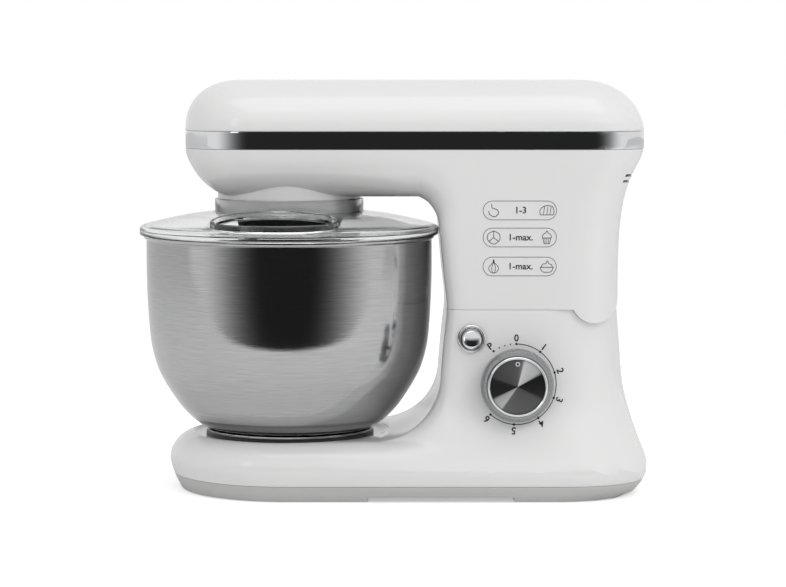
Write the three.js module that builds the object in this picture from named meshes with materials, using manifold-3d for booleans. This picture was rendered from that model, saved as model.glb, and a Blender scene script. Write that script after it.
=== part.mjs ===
// Tilt-head stand mixer, in millimetres. +Z is up, +X points from the bowl to the column, and the origin is
// at the bottom centre of the machine's box. The planetary drive, the tilt hinge and the lock are inside.
import * as THREE from 'three';
import { mergeVertices } from 'three/addons/utils/BufferGeometryUtils.js';
import { ParametricGeometry } from 'three/addons/geometries/ParametricGeometry.js';
import Module from 'manifold-3d';

const wasm = await Module();
wasm.setup();

// Driving dimensions: the overall shape
const NOSE_X = -162.5;
const HEAD_REAR_X = 195;
const HEAD_TOP = 320;
const HEAD_BOTTOM = 230;
const HEAD_HALF = 65;
const BAND_LOW = 266.7;
const BAND_HIGH = 280.7;
const BASE_FRONT_X = -176;
const BASE_HALF = 94;
const BASE_WIDEST_Z = 24.5;
const BOTTOM_INSET = 9;
const PLATFORM_Z = 44.5;
const TRAY_TOP = 12.5;
const SPLIT_Z = 145;
const WALL = 3.5;
const GAP = 0.3;
const REACH = 400;

// Driving dimensions: bowl, drive, hinge and controls
const BOWL_X = -81.5;
const BOWL_R = 112;
const BOWL_TOP = 200;
const BOWL_FOOT = 45.3;
const BOWL_WALL = 1.2;
const DISH_Z = 42;
const HUB_R = 55.9;
const LID_R = 117.3;
const PIVOT = new THREE.Vector3(155.5, 0, 154);
const BARREL_R = 20;
const KNOB = new THREE.Vector3(94.2, -74, 88.5);
const BUTTON = new THREE.Vector3(60, -66.2, 123);
const PLANET_OFFSET = 30;
const RING_TEETH = 45;
const PLANET_TEETH = 15;
const PLANET_MODULE = 2;
const WHEEL_TEETH = 60;
const PINION_TEETH = 12;
const WHEEL_MODULE = 1.5;
const BACKLASH = 0.35;
const MOTOR_X = 107;
const BELT_THICK = 2;
const MOTOR_PULLEY_R = 9;
const LARGE_PULLEY_R = 39;
const BELT_LOW = 277;
const BELT_HIGH = 285;
const FACETS = 20;
const RUNNING = 0.05;
const FLAT_ENOUGH = 0.01;
const PINION_X = BOWL_X + (WHEEL_MODULE * (WHEEL_TEETH + PINION_TEETH)) / 2;
const TOOL_X = BOWL_X - PLANET_OFFSET;

const model = new THREE.Group();

// ---- solids and placing ----------------------------------------------------------------------------------

// A closed solid from any three.js geometry, its faces turned outwards.
function solid(geometry) {
  const bare = geometry.clone();
  bare.deleteAttribute('normal');
  bare.deleteAttribute('uv');
  const merged = mergeVertices(bare, 1e-3);
  const kept = [];
  const corners = merged.index.array;
  for (let i = 0; i < corners.length; i += 3) {
    const [a, b, c] = [corners[i], corners[i + 1], corners[i + 2]];
    if (a !== b && b !== c && c !== a) kept.push(a, b, c);
  }
  const vertProperties = new Float32Array(merged.attributes.position.array);
  const build = (list) => new wasm.Manifold(
    new wasm.Mesh({ numProp: 3, vertProperties, triVerts: Uint32Array.from(list) }));
  const body = build(kept);
  return body.volume() < 0 ? build(kept.reverse()) : body;
}

// Several solids as one.
function join(...bodies) {
  return bodies.reduce((whole, next) => whole.add(next));
}

// A material as one shop would order it.
function finish(color, roughness, metalness = 0, extra = {}) {
  return new THREE.MeshStandardMaterial({ color, roughness, metalness, ...extra });
}

// Names a finished solid, drops the corners that lie flat, gives it its own material and adds it.
function addPart(name, body, material) {
  const mesh = body.simplify(FLAT_ENOUGH).getMesh();
  const geometry = new THREE.BufferGeometry();
  geometry.setAttribute('position', new THREE.BufferAttribute(new Float32Array(mesh.vertProperties), 3));
  geometry.setIndex(new THREE.BufferAttribute(new Uint32Array(mesh.triVerts), 1));
  geometry.computeVertexNormals();
  const part = new THREE.Mesh(geometry, material);
  part.name = name;
  model.add(part);
}

// A box between two corners.
function box([x0, y0, z0], [x1, y1, z1]) {
  const geometry = new THREE.BoxGeometry(x1 - x0, y1 - y0, z1 - z0);
  return solid(geometry.translate((x0 + x1) / 2, (y0 + y1) / 2, (z0 + z1) / 2));
}

// An upright rod about a point of the plan, from low to high.
function rod(x, y, radius, low, high, facets = FACETS) {
  const geometry = new THREE.CylinderGeometry(radius, radius, high - low, facets);
  return solid(geometry.rotateX(Math.PI / 2).translate(x, y, (low + high) / 2));
}

// The radius of a hole in which a faceted shaft of the given radius turns freely.
function boreFor(radius, facets = FACETS) {
  return radius / Math.cos(Math.PI / facets) + RUNNING;
}

// A rod along Y about a point of the side view.
function crossRod(x, z, radius, from, to, facets = FACETS) {
  const geometry = new THREE.CylinderGeometry(radius, radius, to - from, facets);
  return solid(geometry.translate(x, (from + to) / 2, z));
}

// A turned solid: the profile lists radius and height, and the axis is upright at (x, y).
function turned(x, y, profile, facets = 28) {
  const points = profile.map(([r, z]) => new THREE.Vector2(r, z));
  const closes = profile[0][0] === 0 && profile.at(-1)[0] === 0;
  if (!closes) points.push(points[0].clone());
  return solid(new THREE.LatheGeometry(points, facets).rotateX(Math.PI / 2).translate(x, y, 0));
}

// A turned solid on an axis that points out of the near side, starting at the point given.
function turnedFacingOut(place, profile, facets = 28) {
  const body = turned(0, 0, profile, facets);
  return body.rotate([90, 0, 0]).translate(place.toArray());
}

// A flat outline of the plan, raised from low to high.
function raised(shape, low, high, curveSegments = 12) {
  const geometry = new THREE.ExtrudeGeometry(shape, {
    depth: high - low, bevelEnabled: false, curveSegments });
  return solid(geometry.translate(0, 0, low));
}

// A flat outline of the side view, x and z, as thick as the stretch of y given.
function sideExtruded(shape, from, to, curveSegments = 12) {
  const geometry = new THREE.ExtrudeGeometry(shape, {
    depth: to - from, bevelEnabled: false, curveSegments });
  return solid(geometry.rotateX(Math.PI / 2).translate(0, to, 0));
}

// ---- lofted bodies ---------------------------------------------------------------------------------------

// One rounded end of a section: how deep and how wide the rounding is, and how full.
function rounding(deep, wide, power = 2) {
  return { deep, wide, power };
}

// A closed section across the machine, from an inner to an outer point of the side view.
function ring(inner, outer, half, near, far, steps = 4) {
  const length = inner.distanceTo(outer);
  const along = outer.clone().sub(inner).divideScalar(length);
  const side = [];
  const place = (round, angle, fromFar) => {
    const deep = round.deep * (1 - Math.cos(angle) ** (2 / round.power));
    const wide = Math.min(round.wide, half);
    const y = half - wide + wide * Math.sin(angle) ** (2 / round.power);
    const at = inner.clone().addScaledVector(along, fromFar ? length - deep : deep);
    side.push(new THREE.Vector3(at.x, y, at.y));
  };
  for (let k = 0; k <= steps; k++) place(near, (k / steps) * (Math.PI / 2), false);
  for (let k = steps; k >= 0; k--) place(far, (k / steps) * (Math.PI / 2), true);
  const mirrored = side.map((p) => new THREE.Vector3(p.x, -p.y, p.z)).reverse();
  return [...side, ...mirrored];
}

// A closed skin through a row of sections.
function loft(rings) {
  const count = rings[0].length;
  const middle = (points) => {
    const sum = points.reduce((total, p) => total.add(p), new THREE.Vector3());
    return points.map(() => sum.clone().divideScalar(count));
  };
  const rows = [middle(rings[0]), ...rings, middle(rings.at(-1))];
  const last = rows.length - 1;
  const surface = (u, v, target) => target.copy(rows[Math.round(v * last)][Math.round(u * count) % count]);
  return solid(new ParametricGeometry(surface, count, last));
}

// Reads x off a curve of the side view at a height.
function xAt(curve, z) {
  const points = curve.getPoints(80);
  for (let i = 1; i < points.length; i++) {
    const [a, b] = [points[i - 1], points[i]];
    if ((a.y - z) * (b.y - z) <= 0 && a.y !== b.y) return a.x + ((b.x - a.x) * (z - a.y)) / (b.y - a.y);
  }
  return (z > points[0].y ? points[0] : points.at(-1)).x;
}

// A curve of the side view through the points given.
function sideCurve(...points) {
  return new THREE.SplineCurve(points.map(([x, z]) => new THREE.Vector2(x, z)));
}

// Height of a superellipse quarter of the given radii at a distance from its centre line.
function bulge(distance, across, up, power) {
  return up * (1 - Math.min(Math.abs(distance) / across, 1) ** power) ** (1 / power);
}

const mix = (a, b, t) => a + (b - a) * t;

// ---- the outer form --------------------------------------------------------------------------------------

const NOSE_R = 63;
const TOP_ROUND = [45, 39];
const TOP_FULLNESS = 2.3;
const CHIN_ROUND = [37.5, BAND_LOW - HEAD_BOTTOM];
const ARM_END_X = 20;
const COLUMN_TOP_Z = 209.5;
const COLUMN_HALF = 65;
const FRONT_CORNER = 13;

const columnFront = sideCurve(
  [35.5, 209.5], [37, 190], [39.2, 167], [41.3, 145], [38.8, 119.6], [37.4, 104], [36.5, 89]);
const columnRear = sideCurve(
  [177, 209.5], [175.8, 190], [175.6, 146], [178, 116], [180.5, 84], [184.2, 67], [189, 50.5],
  [194.6, 35], [198.2, 24], [196.1, 12], [187, 0]);
const lowerHalf = sideCurve([65, 150], [65.5, 120], [67, 95], [70, 72], [77, 52], [86.5, 35], [93, 22]);

// The head with the upper half of the column, as deep inside its skin as the inset says.
function upperBody(inset, steps) {
  const rings = [];
  const top = HEAD_TOP - inset;
  const bottom = HEAD_BOTTOM + inset;
  const noseCentre = NOSE_X + NOSE_R;
  const stations = inset > 0 ? 4 : 7;
  for (let i = 0; i <= stations; i++) {
    const angle = (i / stations) * (Math.PI / 2);
    const x = noseCentre - (NOSE_R - inset) * Math.cos(angle);
    const half = Math.max(bulge(x - noseCentre, NOSE_R - inset, HEAD_HALF - inset, 2.1), 9);
    rings.push(armRing(x, half, top, bottom, inset, steps));
  }
  rings.push(armRing(ARM_END_X, HEAD_HALF - inset, top, bottom, inset, steps));
  const back = new THREE.Path();
  back.moveTo(ARM_END_X, HEAD_TOP - inset);
  back.lineTo(HEAD_REAR_X - 48, HEAD_TOP - inset);
  back.absellipse(HEAD_REAR_X - 48, HEAD_TOP - 38, 48 - inset, 38 - inset, Math.PI / 2, 0, true);
  back.lineTo(HEAD_REAR_X - inset, BAND_LOW);
  const rearPoints = [[192.8, 260], [187.2, 248.8], [182.3, 237], [179.2, 225], [177, COLUMN_TOP_Z]];
  back.splineThru(rearPoints.map(([x, z]) => new THREE.Vector2(x - inset, z)));
  const throat = new THREE.SplineCurve([[ARM_END_X, 230], [27.2, 225.6], [32.6, 218], [35.5, 209.5]].map(
    ([x, z]) => new THREE.Vector2(x + inset * 0.6, z + inset * 0.6)));
  const fans = inset > 0 ? 9 : 14;
  for (let i = 1; i < fans; i++) {
    const t = i / fans;
    rings.push(fanRing(throat.getPointAt(t), back.getPointAt(t), t, inset, steps));
  }
  for (const z of [COLUMN_TOP_Z, 178, SPLIT_Z, 130]) rings.push(columnRing(z, inset, steps));
  return loft(rings);
}

// An upright section of the arm.
function armRing(x, half, top, bottom, inset, steps) {
  const [topAcross, topUp] = TOP_ROUND;
  const [chinAcross, chinUp] = CHIN_ROUND;
  const beforeTop = Math.max(NOSE_X + topAcross - x, 0);
  const beforeChin = Math.max(NOSE_X + chinAcross - x, 0);
  const high = HEAD_TOP - topUp + bulge(beforeTop, topAcross - inset, topUp - inset, TOP_FULLNESS);
  const low = BAND_LOW - bulge(beforeChin, chinAcross - inset, chinUp - inset, 1.65);
  const near = rounding(Math.min(30, Math.max(BAND_LOW - low, 0.5)), 30);
  const far = rounding(Math.min(topUp, Math.max(high - BAND_HIGH, 0.5)), half, 2.2);
  const inner = new THREE.Vector2(x, Math.max(low, bottom));
  const outer = new THREE.Vector2(x, Math.min(high, top));
  return ring(inner, outer, half, near, far, steps);
}

// A slanted section round the corner between arm and column.
function fanRing(inner, outer, t, inset, steps) {
  const lean = outer.clone().sub(inner).normalize();
  const deep = ((Math.abs(lean.y) / 39) ** 4 + (Math.abs(lean.x) / 50) ** 4) ** -0.25;
  const wide = mix(HEAD_HALF, 50, lean.x ** 2) - inset;
  const corner = mix(30, FRONT_CORNER, t);
  return ring(inner, outer, HEAD_HALF - inset, rounding(corner, corner), rounding(deep, wide, 2.2), steps);
}

// A level section of the upper column.
function columnRing(z, inset, steps) {
  const inner = new THREE.Vector2(xAt(columnFront, z) + inset, z);
  const outer = new THREE.Vector2(xAt(columnRear, z) - inset, z);
  const near = rounding(FRONT_CORNER, FRONT_CORNER);
  return ring(inner, outer, COLUMN_HALF - inset, near, rounding(50, 50, 2.2), steps);
}

// How far the slab's edge stands in from its widest line.
function edgeInset(z) {
  const drop = (BASE_WIDEST_Z - z) / BASE_WIDEST_Z;
  if (drop > 0) return drop ** 1.6 * BOTTOM_INSET;
  return 20 - bulge(z - BASE_WIDEST_Z, PLATFORM_Z - BASE_WIDEST_Z, 20, 1.8);
}

// The base slab between two heights.
function slab(levels, inset, steps) {
  return loft(levels.map((z) => {
    const edge = edgeInset(z) + inset;
    const inner = new THREE.Vector2(BASE_FRONT_X + edge, z);
    const outer = new THREE.Vector2(xAt(columnRear, z) - inset, z);
    const near = rounding(BOWL_X - BASE_FRONT_X - edge, BASE_HALF - edge);
    return ring(inner, outer, BASE_HALF - edge, near, rounding(65, 65, 2.2), steps);
  }));
}

// The lower half of the column, flaring into the slab.
function lowerColumn(levels, inset, steps) {
  return loft(levels.map((z) => {
    const flare = Math.min(Math.max((100 - z) / 60, 0), 1) ** 1.5;
    const inner = new THREE.Vector2(xAt(columnFront, z) + inset, z);
    const outer = new THREE.Vector2(xAt(columnRear, z) - inset, z);
    const near = rounding(mix(FRONT_CORNER, 60, flare), mix(FRONT_CORNER, 34, flare));
    const far = rounding(mix(50, 65, flare), mix(50, 65, flare), 2.2);
    return ring(inner, outer, xAt(lowerHalf, z) - inset, near, far, steps);
  }));
}

// The hollow sweep between platform and column.
function cove(half) {
  const shape = new THREE.Shape();
  const z = 94;
  const radius = z - PLATFORM_Z;
  const x = 36.5 - radius;
  shape.moveTo(x, z - radius);
  shape.absarc(x, z, radius, -Math.PI / 2, 0, false);
  shape.lineTo(60, z);
  shape.lineTo(60, 30);
  shape.lineTo(x, 30);
  return sideExtruded(shape, -half, half, 8);
}

const barrel = (radius) => crossRod(PIVOT.x, PIVOT.z, radius, -REACH / 2, REACH / 2, 40);
const below = (z) => box([-REACH, -REACH, -REACH], [REACH, REACH, z]);
const above = (z) => box([-REACH, -REACH, z], [REACH, REACH, REACH]);

// ---- base ------------------------------------------------------------------------------------------------

const FEET = [[-138, 48], [-138, -48], [152, 60], [152, -60]];
const TRAY_SCREWS = [[-112, 58, 40], [-112, -58, 40], [118, 72, 46], [118, -72, 46]];
const EAR = { inner: 16, outer: 20, half: 8 };

const whiteGloss = () => finish(0xf4f4f2, 0.18);
const trayGrey = () => finish(0xe4e4e2, 0.4);
const chrome = () => finish(0xd8dade, 0.06, 1);
const steel = () => finish(0xb9bcc0, 0.3, 1);
const castMetal = () => finish(0xa9adb2, 0.5, 1);
const blackPlastic = () => finish(0x1b1b1d, 0.5);
const rubber = () => finish(0x2a2a2b, 0.9);
const brass = () => finish(0xc9a24a, 0.35, 1);
const nylon = () => finish(0xe9e4d4, 0.5);

function baseShell() {
  const slabLevels = [0, TRAY_TOP, BASE_WIDEST_Z, 35, 41.5, PLATFORM_Z];
  const columnLevels = [150, 120, 95, 80, 66, 54, 42, 28];
  const outside = join(slab(slabLevels, 0, 4), lowerColumn(columnLevels, 0, 3), cove(58));
  const dish = turned(BOWL_X, 0, [[0, DISH_Z], [71, DISH_Z], [75.5, 42.8], [78, 45], [78, 90], [0, 90]]);
  const cavity = join(
    slab([2, 22, 38], 4, 2),
    lowerColumn([141, 95, 78, 62, 48, 30], 4, 2),
  ).subtract(barrel(BARREL_R + 4));
  let shell = outside.subtract(dish).subtract(cavity);
  shell = shell.subtract(below(TRAY_TOP + GAP)).subtract(above(SPLIT_Z - GAP));
  shell = shell.subtract(barrel(BARREL_R + GAP));
  for (const [x, y, high] of TRAY_SCREWS) {
    shell = shell.add(rod(x, y, 6, TRAY_TOP + GAP, high, 12));
    shell = shell.subtract(rod(x, y, 2.4, 0, 30, 8));
  }
  const guides = [[52, 56.5], [63.5, 68]].map(([x0, x1]) => box([x0, -22, 116], [x1, -15, 142]));
  shell = join(shell, ...guides);
  const catchSlot = box([48, -4.2, 120], [68, 4.2, 160]);
  shell = shell.subtract(catchSlot);
  for (const side of [-1, 1]) {
    const [near, far] = [EAR.inner - 0.5, EAR.outer + 0.5].map((y) => y * side).sort((a, b) => a - b);
    shell = shell.subtract(box([PIVOT.x - 9, near, 128], [PIVOT.x + 9, far, 150]));
  }
  shell = shell.add(crossRod(KNOB.x, KNOB.z, 26, -73.7, -60, 40)).subtract(
    box([60, -62, 50], [130, -40, 127])).subtract(
    crossRod(KNOB.x, KNOB.z, boreFor(3, 12), -90, -40, 12));
  shell = shell.subtract(crossRod(BUTTON.x, BUTTON.z, 8.4, -90, -50, 24));
  shell = shell.subtract(glandHole(8.3));
  addPart('base_shell', shell, whiteGloss());
}

// The round hole at the back through which a supply cord would pass.
function glandHole(radius) {
  const geometry = new THREE.CylinderGeometry(radius, radius, 40, 20).rotateZ(Math.PI / 2);
  return solid(geometry.translate(186, 0, 38));
}

function baseTray() {
  const floor = 5;
  const raisedFloor = 4;
  const outside = slab([0.6, 6, TRAY_TOP], 0, 4);
  const arch = box([-19, -REACH, -5], [92, REACH, raisedFloor]);
  const keep = box([-23, -REACH, -5], [96, REACH, raisedFloor + 3]);
  const hollow = slab([floor, 20], 3.5, 2).subtract(keep);
  const middle = slab([raisedFloor + 3, 20], 3.5, 2);
  let tray = outside.subtract(arch).subtract(join(hollow, middle));
  for (const [x, y] of FEET) tray = tray.subtract(rod(x, y, 11.3, -1, 3.3, 24));
  for (const [x, y] of TRAY_SCREWS) {
    tray = tray.add(rod(x, y, 6, 3, TRAY_TOP, 12));
    tray = tray.subtract(rod(x, y, 2.4, 0, 20, 8)).subtract(rod(x, y, 4.4, 0, 6, 12));
  }
  for (const y of [-36, -18, 0, 18, 36]) tray = tray.subtract(box([20, y - 2, 0], [60, y + 2, 12]));
  for (const [x, y] of [[70, 25], [70, -25], [130, 25], [130, -25]]) {
    tray = tray.add(rod(x, y, 3, 4.5, 15.7, 8));
  }
  addPart('base_tray', tray, trayGrey());
}

function feetAndScrews() {
  FEET.forEach(([x, y], i) => {
    const profile = [[0, 0], [9, 0], [11, 1.2], [11, 3], [0, 3]];
    addPart(`foot_${i + 1}`, turned(x, y, profile, 20), rubber());
  });
  TRAY_SCREWS.forEach(([x, y], i) => {
    const profile = [[0, 3.4], [4, 3.4], [4, 5.7], [1.9, 5.7], [1.9, 26], [0, 28]];
    addPart(`tray_screw_${i + 1}`, turned(x, y, profile, 8), steel());
  });
}

// A sector of a flat ring, for the bayonet slots and lugs.
function ringSector(inner, outer, start, sweep, low, high) {
  const shape = new THREE.Shape();
  shape.absarc(0, 0, outer, start, start + sweep, false);
  shape.absarc(0, 0, inner, start + sweep, start, true);
  return raised(shape, low, high, 6).translate([BOWL_X, 0, 0]);
}

const BAYONET_TWIST = THREE.MathUtils.degToRad(25);
const LUG_SWEEP = THREE.MathUtils.degToRad(20);

function bowlSeat() {
  let seat = turned(BOWL_X, 0, [[49, DISH_Z + GAP], [66, DISH_Z + GAP], [66, 45], [49, 45]]);
  for (let i = 0; i < 3; i++) {
    const start = (i * 2 * Math.PI) / 3 - 0.03;
    seat = seat.subtract(ringSector(55, 61, start, LUG_SWEEP + BAYONET_TWIST + 0.06, DISH_Z - 1, 50));
  }
  addPart('bowl_seat', seat, blackPlastic());
}

function hingeHardware() {
  const { inner, outer, half } = EAR;
  let bracket = box([PIVOT.x - 26, -30, 124.5], [PIVOT.x + 10, 30, 128.5]);
  for (const side of [-1, 1]) {
    const [from, to] = side < 0 ? [-outer, -inner] : [inner, outer];
    const ear = new THREE.Shape();
    ear.moveTo(PIVOT.x - half, 126);
    ear.lineTo(PIVOT.x + half, 126);
    ear.absarc(PIVOT.x, PIVOT.z, half, 0, Math.PI, false);
    bracket = bracket.add(sideExtruded(ear, from, to, 10));
  }
  bracket = bracket.subtract(crossRod(PIVOT.x, PIVOT.z, 5.3, -40, 40, 24));
  addPart('hinge_bracket', bracket, steel());
  addPart('hinge_pin', crossRod(PIVOT.x, PIVOT.z, 5, -42, 42, 24), steel());
}

function electrics() {
  const socket = crossRod(KNOB.x, KNOB.z, boreFor(3, 12), -80, -44, 12);
  const body = join(
    box([KNOB.x - 14, -61.5, KNOB.z - 14], [KNOB.x + 14, -42, KNOB.z + 14]),
    crossRod(KNOB.x, KNOB.z, 6, -42.5, -38, 16));
  addPart('speed_switch', body.subtract(socket), blackPlastic());
  const board = join(
    box([62, -32, 16], [138, 32, 17.6]),
    box([70, -20, 17], [88, 6, 34]),
    rod(102, 12, 7, 17, 40, 16),
    box([112, -22, 17], [130, 10, 28]));
  addPart('control_board', board, finish(0x2e6b45, 0.6));
  const gland = new THREE.CylinderGeometry(8, 8, 14, 20).rotateZ(Math.PI / 2).translate(184, 0, 38);
  const flange = new THREE.CylinderGeometry(10, 10, 2.5, 20).rotateZ(Math.PI / 2).translate(184.2, 0, 38);
  addPart('cord_gland', join(solid(gland), solid(flange)), blackPlastic());
}

// ---- controls --------------------------------------------------------------------------------------------

function knob() {
  const flutes = 30;
  const skirtOutline = new THREE.Shape(Array.from({ length: flutes * 2 }, (_, i) => {
    const angle = (i * Math.PI) / flutes;
    const radius = i % 2 ? 27.2 : 27.9;
    return new THREE.Vector2(radius * Math.cos(angle), radius * Math.sin(angle));
  }));
  const crown = turned(0, 0, [[0, -30], [28.4, -30], [28.4, 8], [26, 12.5], [0, 12.5]]);
  const recess = rod(0, 0, 23.3, 10, 20, 48);
  const shaft = rod(0, 0, 3, -27, 1, 12);
  const body = raised(skirtOutline, 0, 12.5).intersect(crown).subtract(recess).add(shaft);
  const place = (part) => part.rotate([90, 0, 0]).translate(KNOB.toArray());
  addPart('knob_body', place(body), finish(0xb4b6b9, 0.35, 1));
  const ringProfile = [[20.9, 10.3], [23, 10.3], [23, 14.5], [22, 15.5], [20.9, 15]];
  addPart('knob_ring', turnedFacingOut(KNOB, ringProfile), chrome());
  const faceProfile = [[0, 10.3], [20.6, 10.3], [20.6, 14], [0, 14]];
  addPart('knob_face', turnedFacingOut(KNOB, faceProfile), finish(0xc2c4c8, 0.25, 1));
}

function releaseButton() {
  const bezel = [[8.5, 0], [11, 0], [10.6, 2], [9.6, 2.8], [8.5, 2.2]];
  addPart('release_bezel', turnedFacingOut(BUTTON, bezel, 32), chrome());
  const cap = [[0, -21], [3, -21], [3, -3], [8, -3], [8, 1], [7, 2.4], [4.5, 3.6], [0, 4.2]];
  addPart('release_button', turnedFacingOut(BUTTON, cap, 24), chrome());
  const bar = join(
    box([BUTTON.x - 3, BUTTON.y + 21.4, 118], [BUTTON.x + 3, 10, 124]),
    box([BUTTON.x - 3, 3.6, 122], [BUTTON.x + 3, 10, 134]));
  addPart('lock_bar', bar, steel());
}

// ---- bowl ------------------------------------------------------------------------------------------------

function bowl() {
  const outer = [[64, 47], [71, 51], [78, 56.5], [85.5, 64.5], [91.6, 73], [98.2, 83.5], [104, 95.5],
    [108.6, 113], [110.8, 136], [BOWL_R, 165], [BOWL_R, BOWL_TOP - 5]];
  const bead = [[BOWL_R + 2, BOWL_TOP - 4], [BOWL_R + 2, BOWL_TOP - 1], [BOWL_R + 0.5, BOWL_TOP],
    [BOWL_R - BOWL_WALL, BOWL_TOP - 0.6]];
  const inner = outer.slice(0, 9).reverse().map(([r, z]) => [r - BOWL_WALL, z + BOWL_WALL * 0.7]);
  const profile = [[0, 47], ...outer, ...bead, ...inner, [0, 47 + BOWL_WALL]];
  addPart('bowl', turned(BOWL_X, 0, profile, 36), steel());
  let foot = turned(BOWL_X, 0, [[51, BOWL_FOOT], [65.5, BOWL_FOOT], [65.5, 46.7], [51, 46.7]]);
  for (let i = 0; i < 3; i++) {
    foot = foot.add(ringSector(55.8, 60.2, (i * 2 * Math.PI) / 3, LUG_SWEEP, DISH_Z + 0.8, 46));
  }
  addPart('bowl_foot', foot, steel());
}

// ---- head shells -----------------------------------------------------------------------------------------

function headShells() {
  const outside = upperBody(0, 4);
  const inside = upperBody(WALL, 2);
  const deckTop = SPLIT_Z + 4;
  const tiltRelief = join(
    below(SPLIT_Z),
    box([PIVOT.x, -REACH, 100], [REACH, REACH, PIVOT.z + 3]),
  ).subtract(barrel(BARREL_R));
  const hollow = inside.subtract(box([PIVOT.x - 21, -REACH, 100], [REACH, REACH, deckTop]));
  const bosses = join(
    crossRod(PIVOT.x, PIVOT.z, 12, 24, 40, 24), crossRod(PIVOT.x, PIVOT.z, 12, -40, -24, 24));
  let shell = outside.subtract(tiltRelief).subtract(hollow.subtract(bosses));
  shell = shell.subtract(box([PIVOT.x - 11, -22.5, 120], [PIVOT.x + 17.8, 22.5, 166]));
  shell = shell.subtract(crossRod(PIVOT.x, PIVOT.z, 8.3, -43, 43, 24));
  shell = shell.subtract(rod(BOWL_X, 0, HUB_R + GAP, 200, 262, 36));
  for (const side of [-1, 1]) {
    const [near, far] = side < 0 ? [-REACH, -30] : [30, REACH];
    for (const z of [240, 246]) shell = shell.subtract(box([176, near, z], [182, far, z + 2.5]));
  }
  addPart('head_lower_shell', shell.subtract(above(BAND_LOW)), whiteGloss());
  addPart('trim_band', shell.subtract(below(BAND_LOW + GAP)).subtract(above(BAND_HIGH - GAP)), chrome());
  addPart('head_top_cover', shell.subtract(below(BAND_HIGH)), whiteGloss());

  const plateEnd = PIVOT.x - BARREL_R - 3;
  const plan = loft([150, 140].map((z) => columnRing(z, WALL + 2 * GAP, 2)));
  const plate = plan.subtract(box([plateEnd, -REACH, 0], [REACH, REACH, REACH]))
    .subtract(below(SPLIT_Z + GAP)).subtract(above(deckTop));
  const tongue = box([54, -3, 125.5], [66, 3, SPLIT_Z + 2]).subtract(
    box([56.3, -5, 129], [63.7, 5, 136]));
  addPart('head_deck', plate.add(tongue), blackPlastic());
  for (const side of [-1, 1]) {
    const [from, to] = side < 0 ? [-39, -24] : [24, 39];
    const bush = crossRod(PIVOT.x, PIVOT.z, 8, from, to, 24).subtract(
      crossRod(PIVOT.x, PIVOT.z, boreFor(5, 24), -50, 50, 24));
    addPart(side < 0 ? 'hinge_bush_near' : 'hinge_bush_far', bush, brass());
  }
}

// ---- gears -----------------------------------------------------------------------------------------------

const involute = (angle) => Math.tan(angle) - angle;

// The outline of a spur gear: one point at the root, some on each flank, and the tip.
function gearOutline(teeth, modulus, tip, root, slack, phase, flankPoints) {
  const pitchR = (teeth * modulus) / 2;
  const pressure = THREE.MathUtils.degToRad(20);
  const baseR = pitchR * Math.cos(pressure);
  const halfTooth = Math.PI / (2 * teeth) - slack / (2 * pitchR);
  const points = [];
  for (let k = 0; k < teeth; k++) {
    const middle = phase + (k * 2 * Math.PI) / teeth;
    const flank = [];
    for (let i = 0; i < flankPoints; i++) {
      const radius = mix(pitchR - root, pitchR + tip, i / (flankPoints - 1));
      const contact = Math.acos(Math.min(baseR / Math.max(radius, baseR), 1));
      flank.push([radius, halfTooth + involute(pressure) - involute(contact)]);
    }
    for (const [radius, width] of flank) points.push(polar(radius, middle - width));
    for (const [radius, width] of flank.reverse()) points.push(polar(radius, middle + width));
  }
  return new THREE.Shape(points);
}

const polar = (radius, angle) => new THREE.Vector2(radius * Math.cos(angle), radius * Math.sin(angle));

function gearing() {
  const ringSpace = gearOutline(
    RING_TEETH, PLANET_MODULE, 1.25 * PLANET_MODULE, PLANET_MODULE, -BACKLASH, Math.PI, 2);
  const ringGear = rod(BOWL_X, 0, 51, 222.5, 230, 30).subtract(
    raised(ringSpace, 200, 250).translate([BOWL_X, 0, 0]));
  addPart('ring_gear', ringGear, castMetal());

  const planetOutline = gearOutline(
    PLANET_TEETH, PLANET_MODULE, PLANET_MODULE, 1.25 * PLANET_MODULE, BACKLASH, Math.PI, 3);
  const planetGear = raised(planetOutline, 223, 229.5).translate([TOOL_X, 0, 0]).subtract(
    rod(TOOL_X, 0, 5 + GAP, 200, 250, 16));
  addPart('planet_gear', planetGear, steel());

  const hubs = join(
    rod(BOWL_X, 0, 43.5, 215.5, 222, 28), rod(BOWL_X, 0, 10, 221, 231, 16),
    rod(BOWL_X, 0, 6, 214, 261.5, 16), rod(TOOL_X, 0, 10, 209, 221, 16));
  const skirt = turned(BOWL_X, 0, [[38.5, 216], [37, 206.5], [40, 205.5], [42.5, 216]], 28);
  const carrier = join(hubs, skirt).subtract(rod(TOOL_X, 0, boreFor(5, 16), 200, 240, 16));
  addPart('planet_carrier', carrier, blackPlastic());

  const wheelOutline = gearOutline(
    WHEEL_TEETH, WHEEL_MODULE, WHEEL_MODULE, 1.25 * WHEEL_MODULE, BACKLASH, 0, 2);
  const wheel = raised(wheelOutline, 250, 257).translate([BOWL_X, 0, 0]).subtract(
    rod(BOWL_X, 0, 6 + GAP, 200, 300, 16));
  addPart('carrier_wheel', wheel, nylon());

  const pinionOutline = gearOutline(
    PINION_TEETH, WHEEL_MODULE, WHEEL_MODULE, 1.25 * WHEEL_MODULE, BACKLASH, Math.PI / PINION_TEETH, 3);
  const pinion = join(
    raised(pinionOutline, 249.5, 257.5).translate([PINION_X, 0, 0]),
    rod(PINION_X, 0, 4, 242, 290, 16));
  addPart('pinion_shaft', pinion, steel());
}

// An outline around the gear train, as wide as the margin about the wheel and about the pinion.
function trainOutline(aboutWheel, aboutPinion) {
  return (low, high) => join(
    rod(BOWL_X, 0, aboutWheel, low, high, 28),
    rod(PINION_X, 0, aboutPinion, low, high, 16),
    box([BOWL_X, -aboutPinion, low], [PINION_X, aboutPinion, high]));
}

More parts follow.
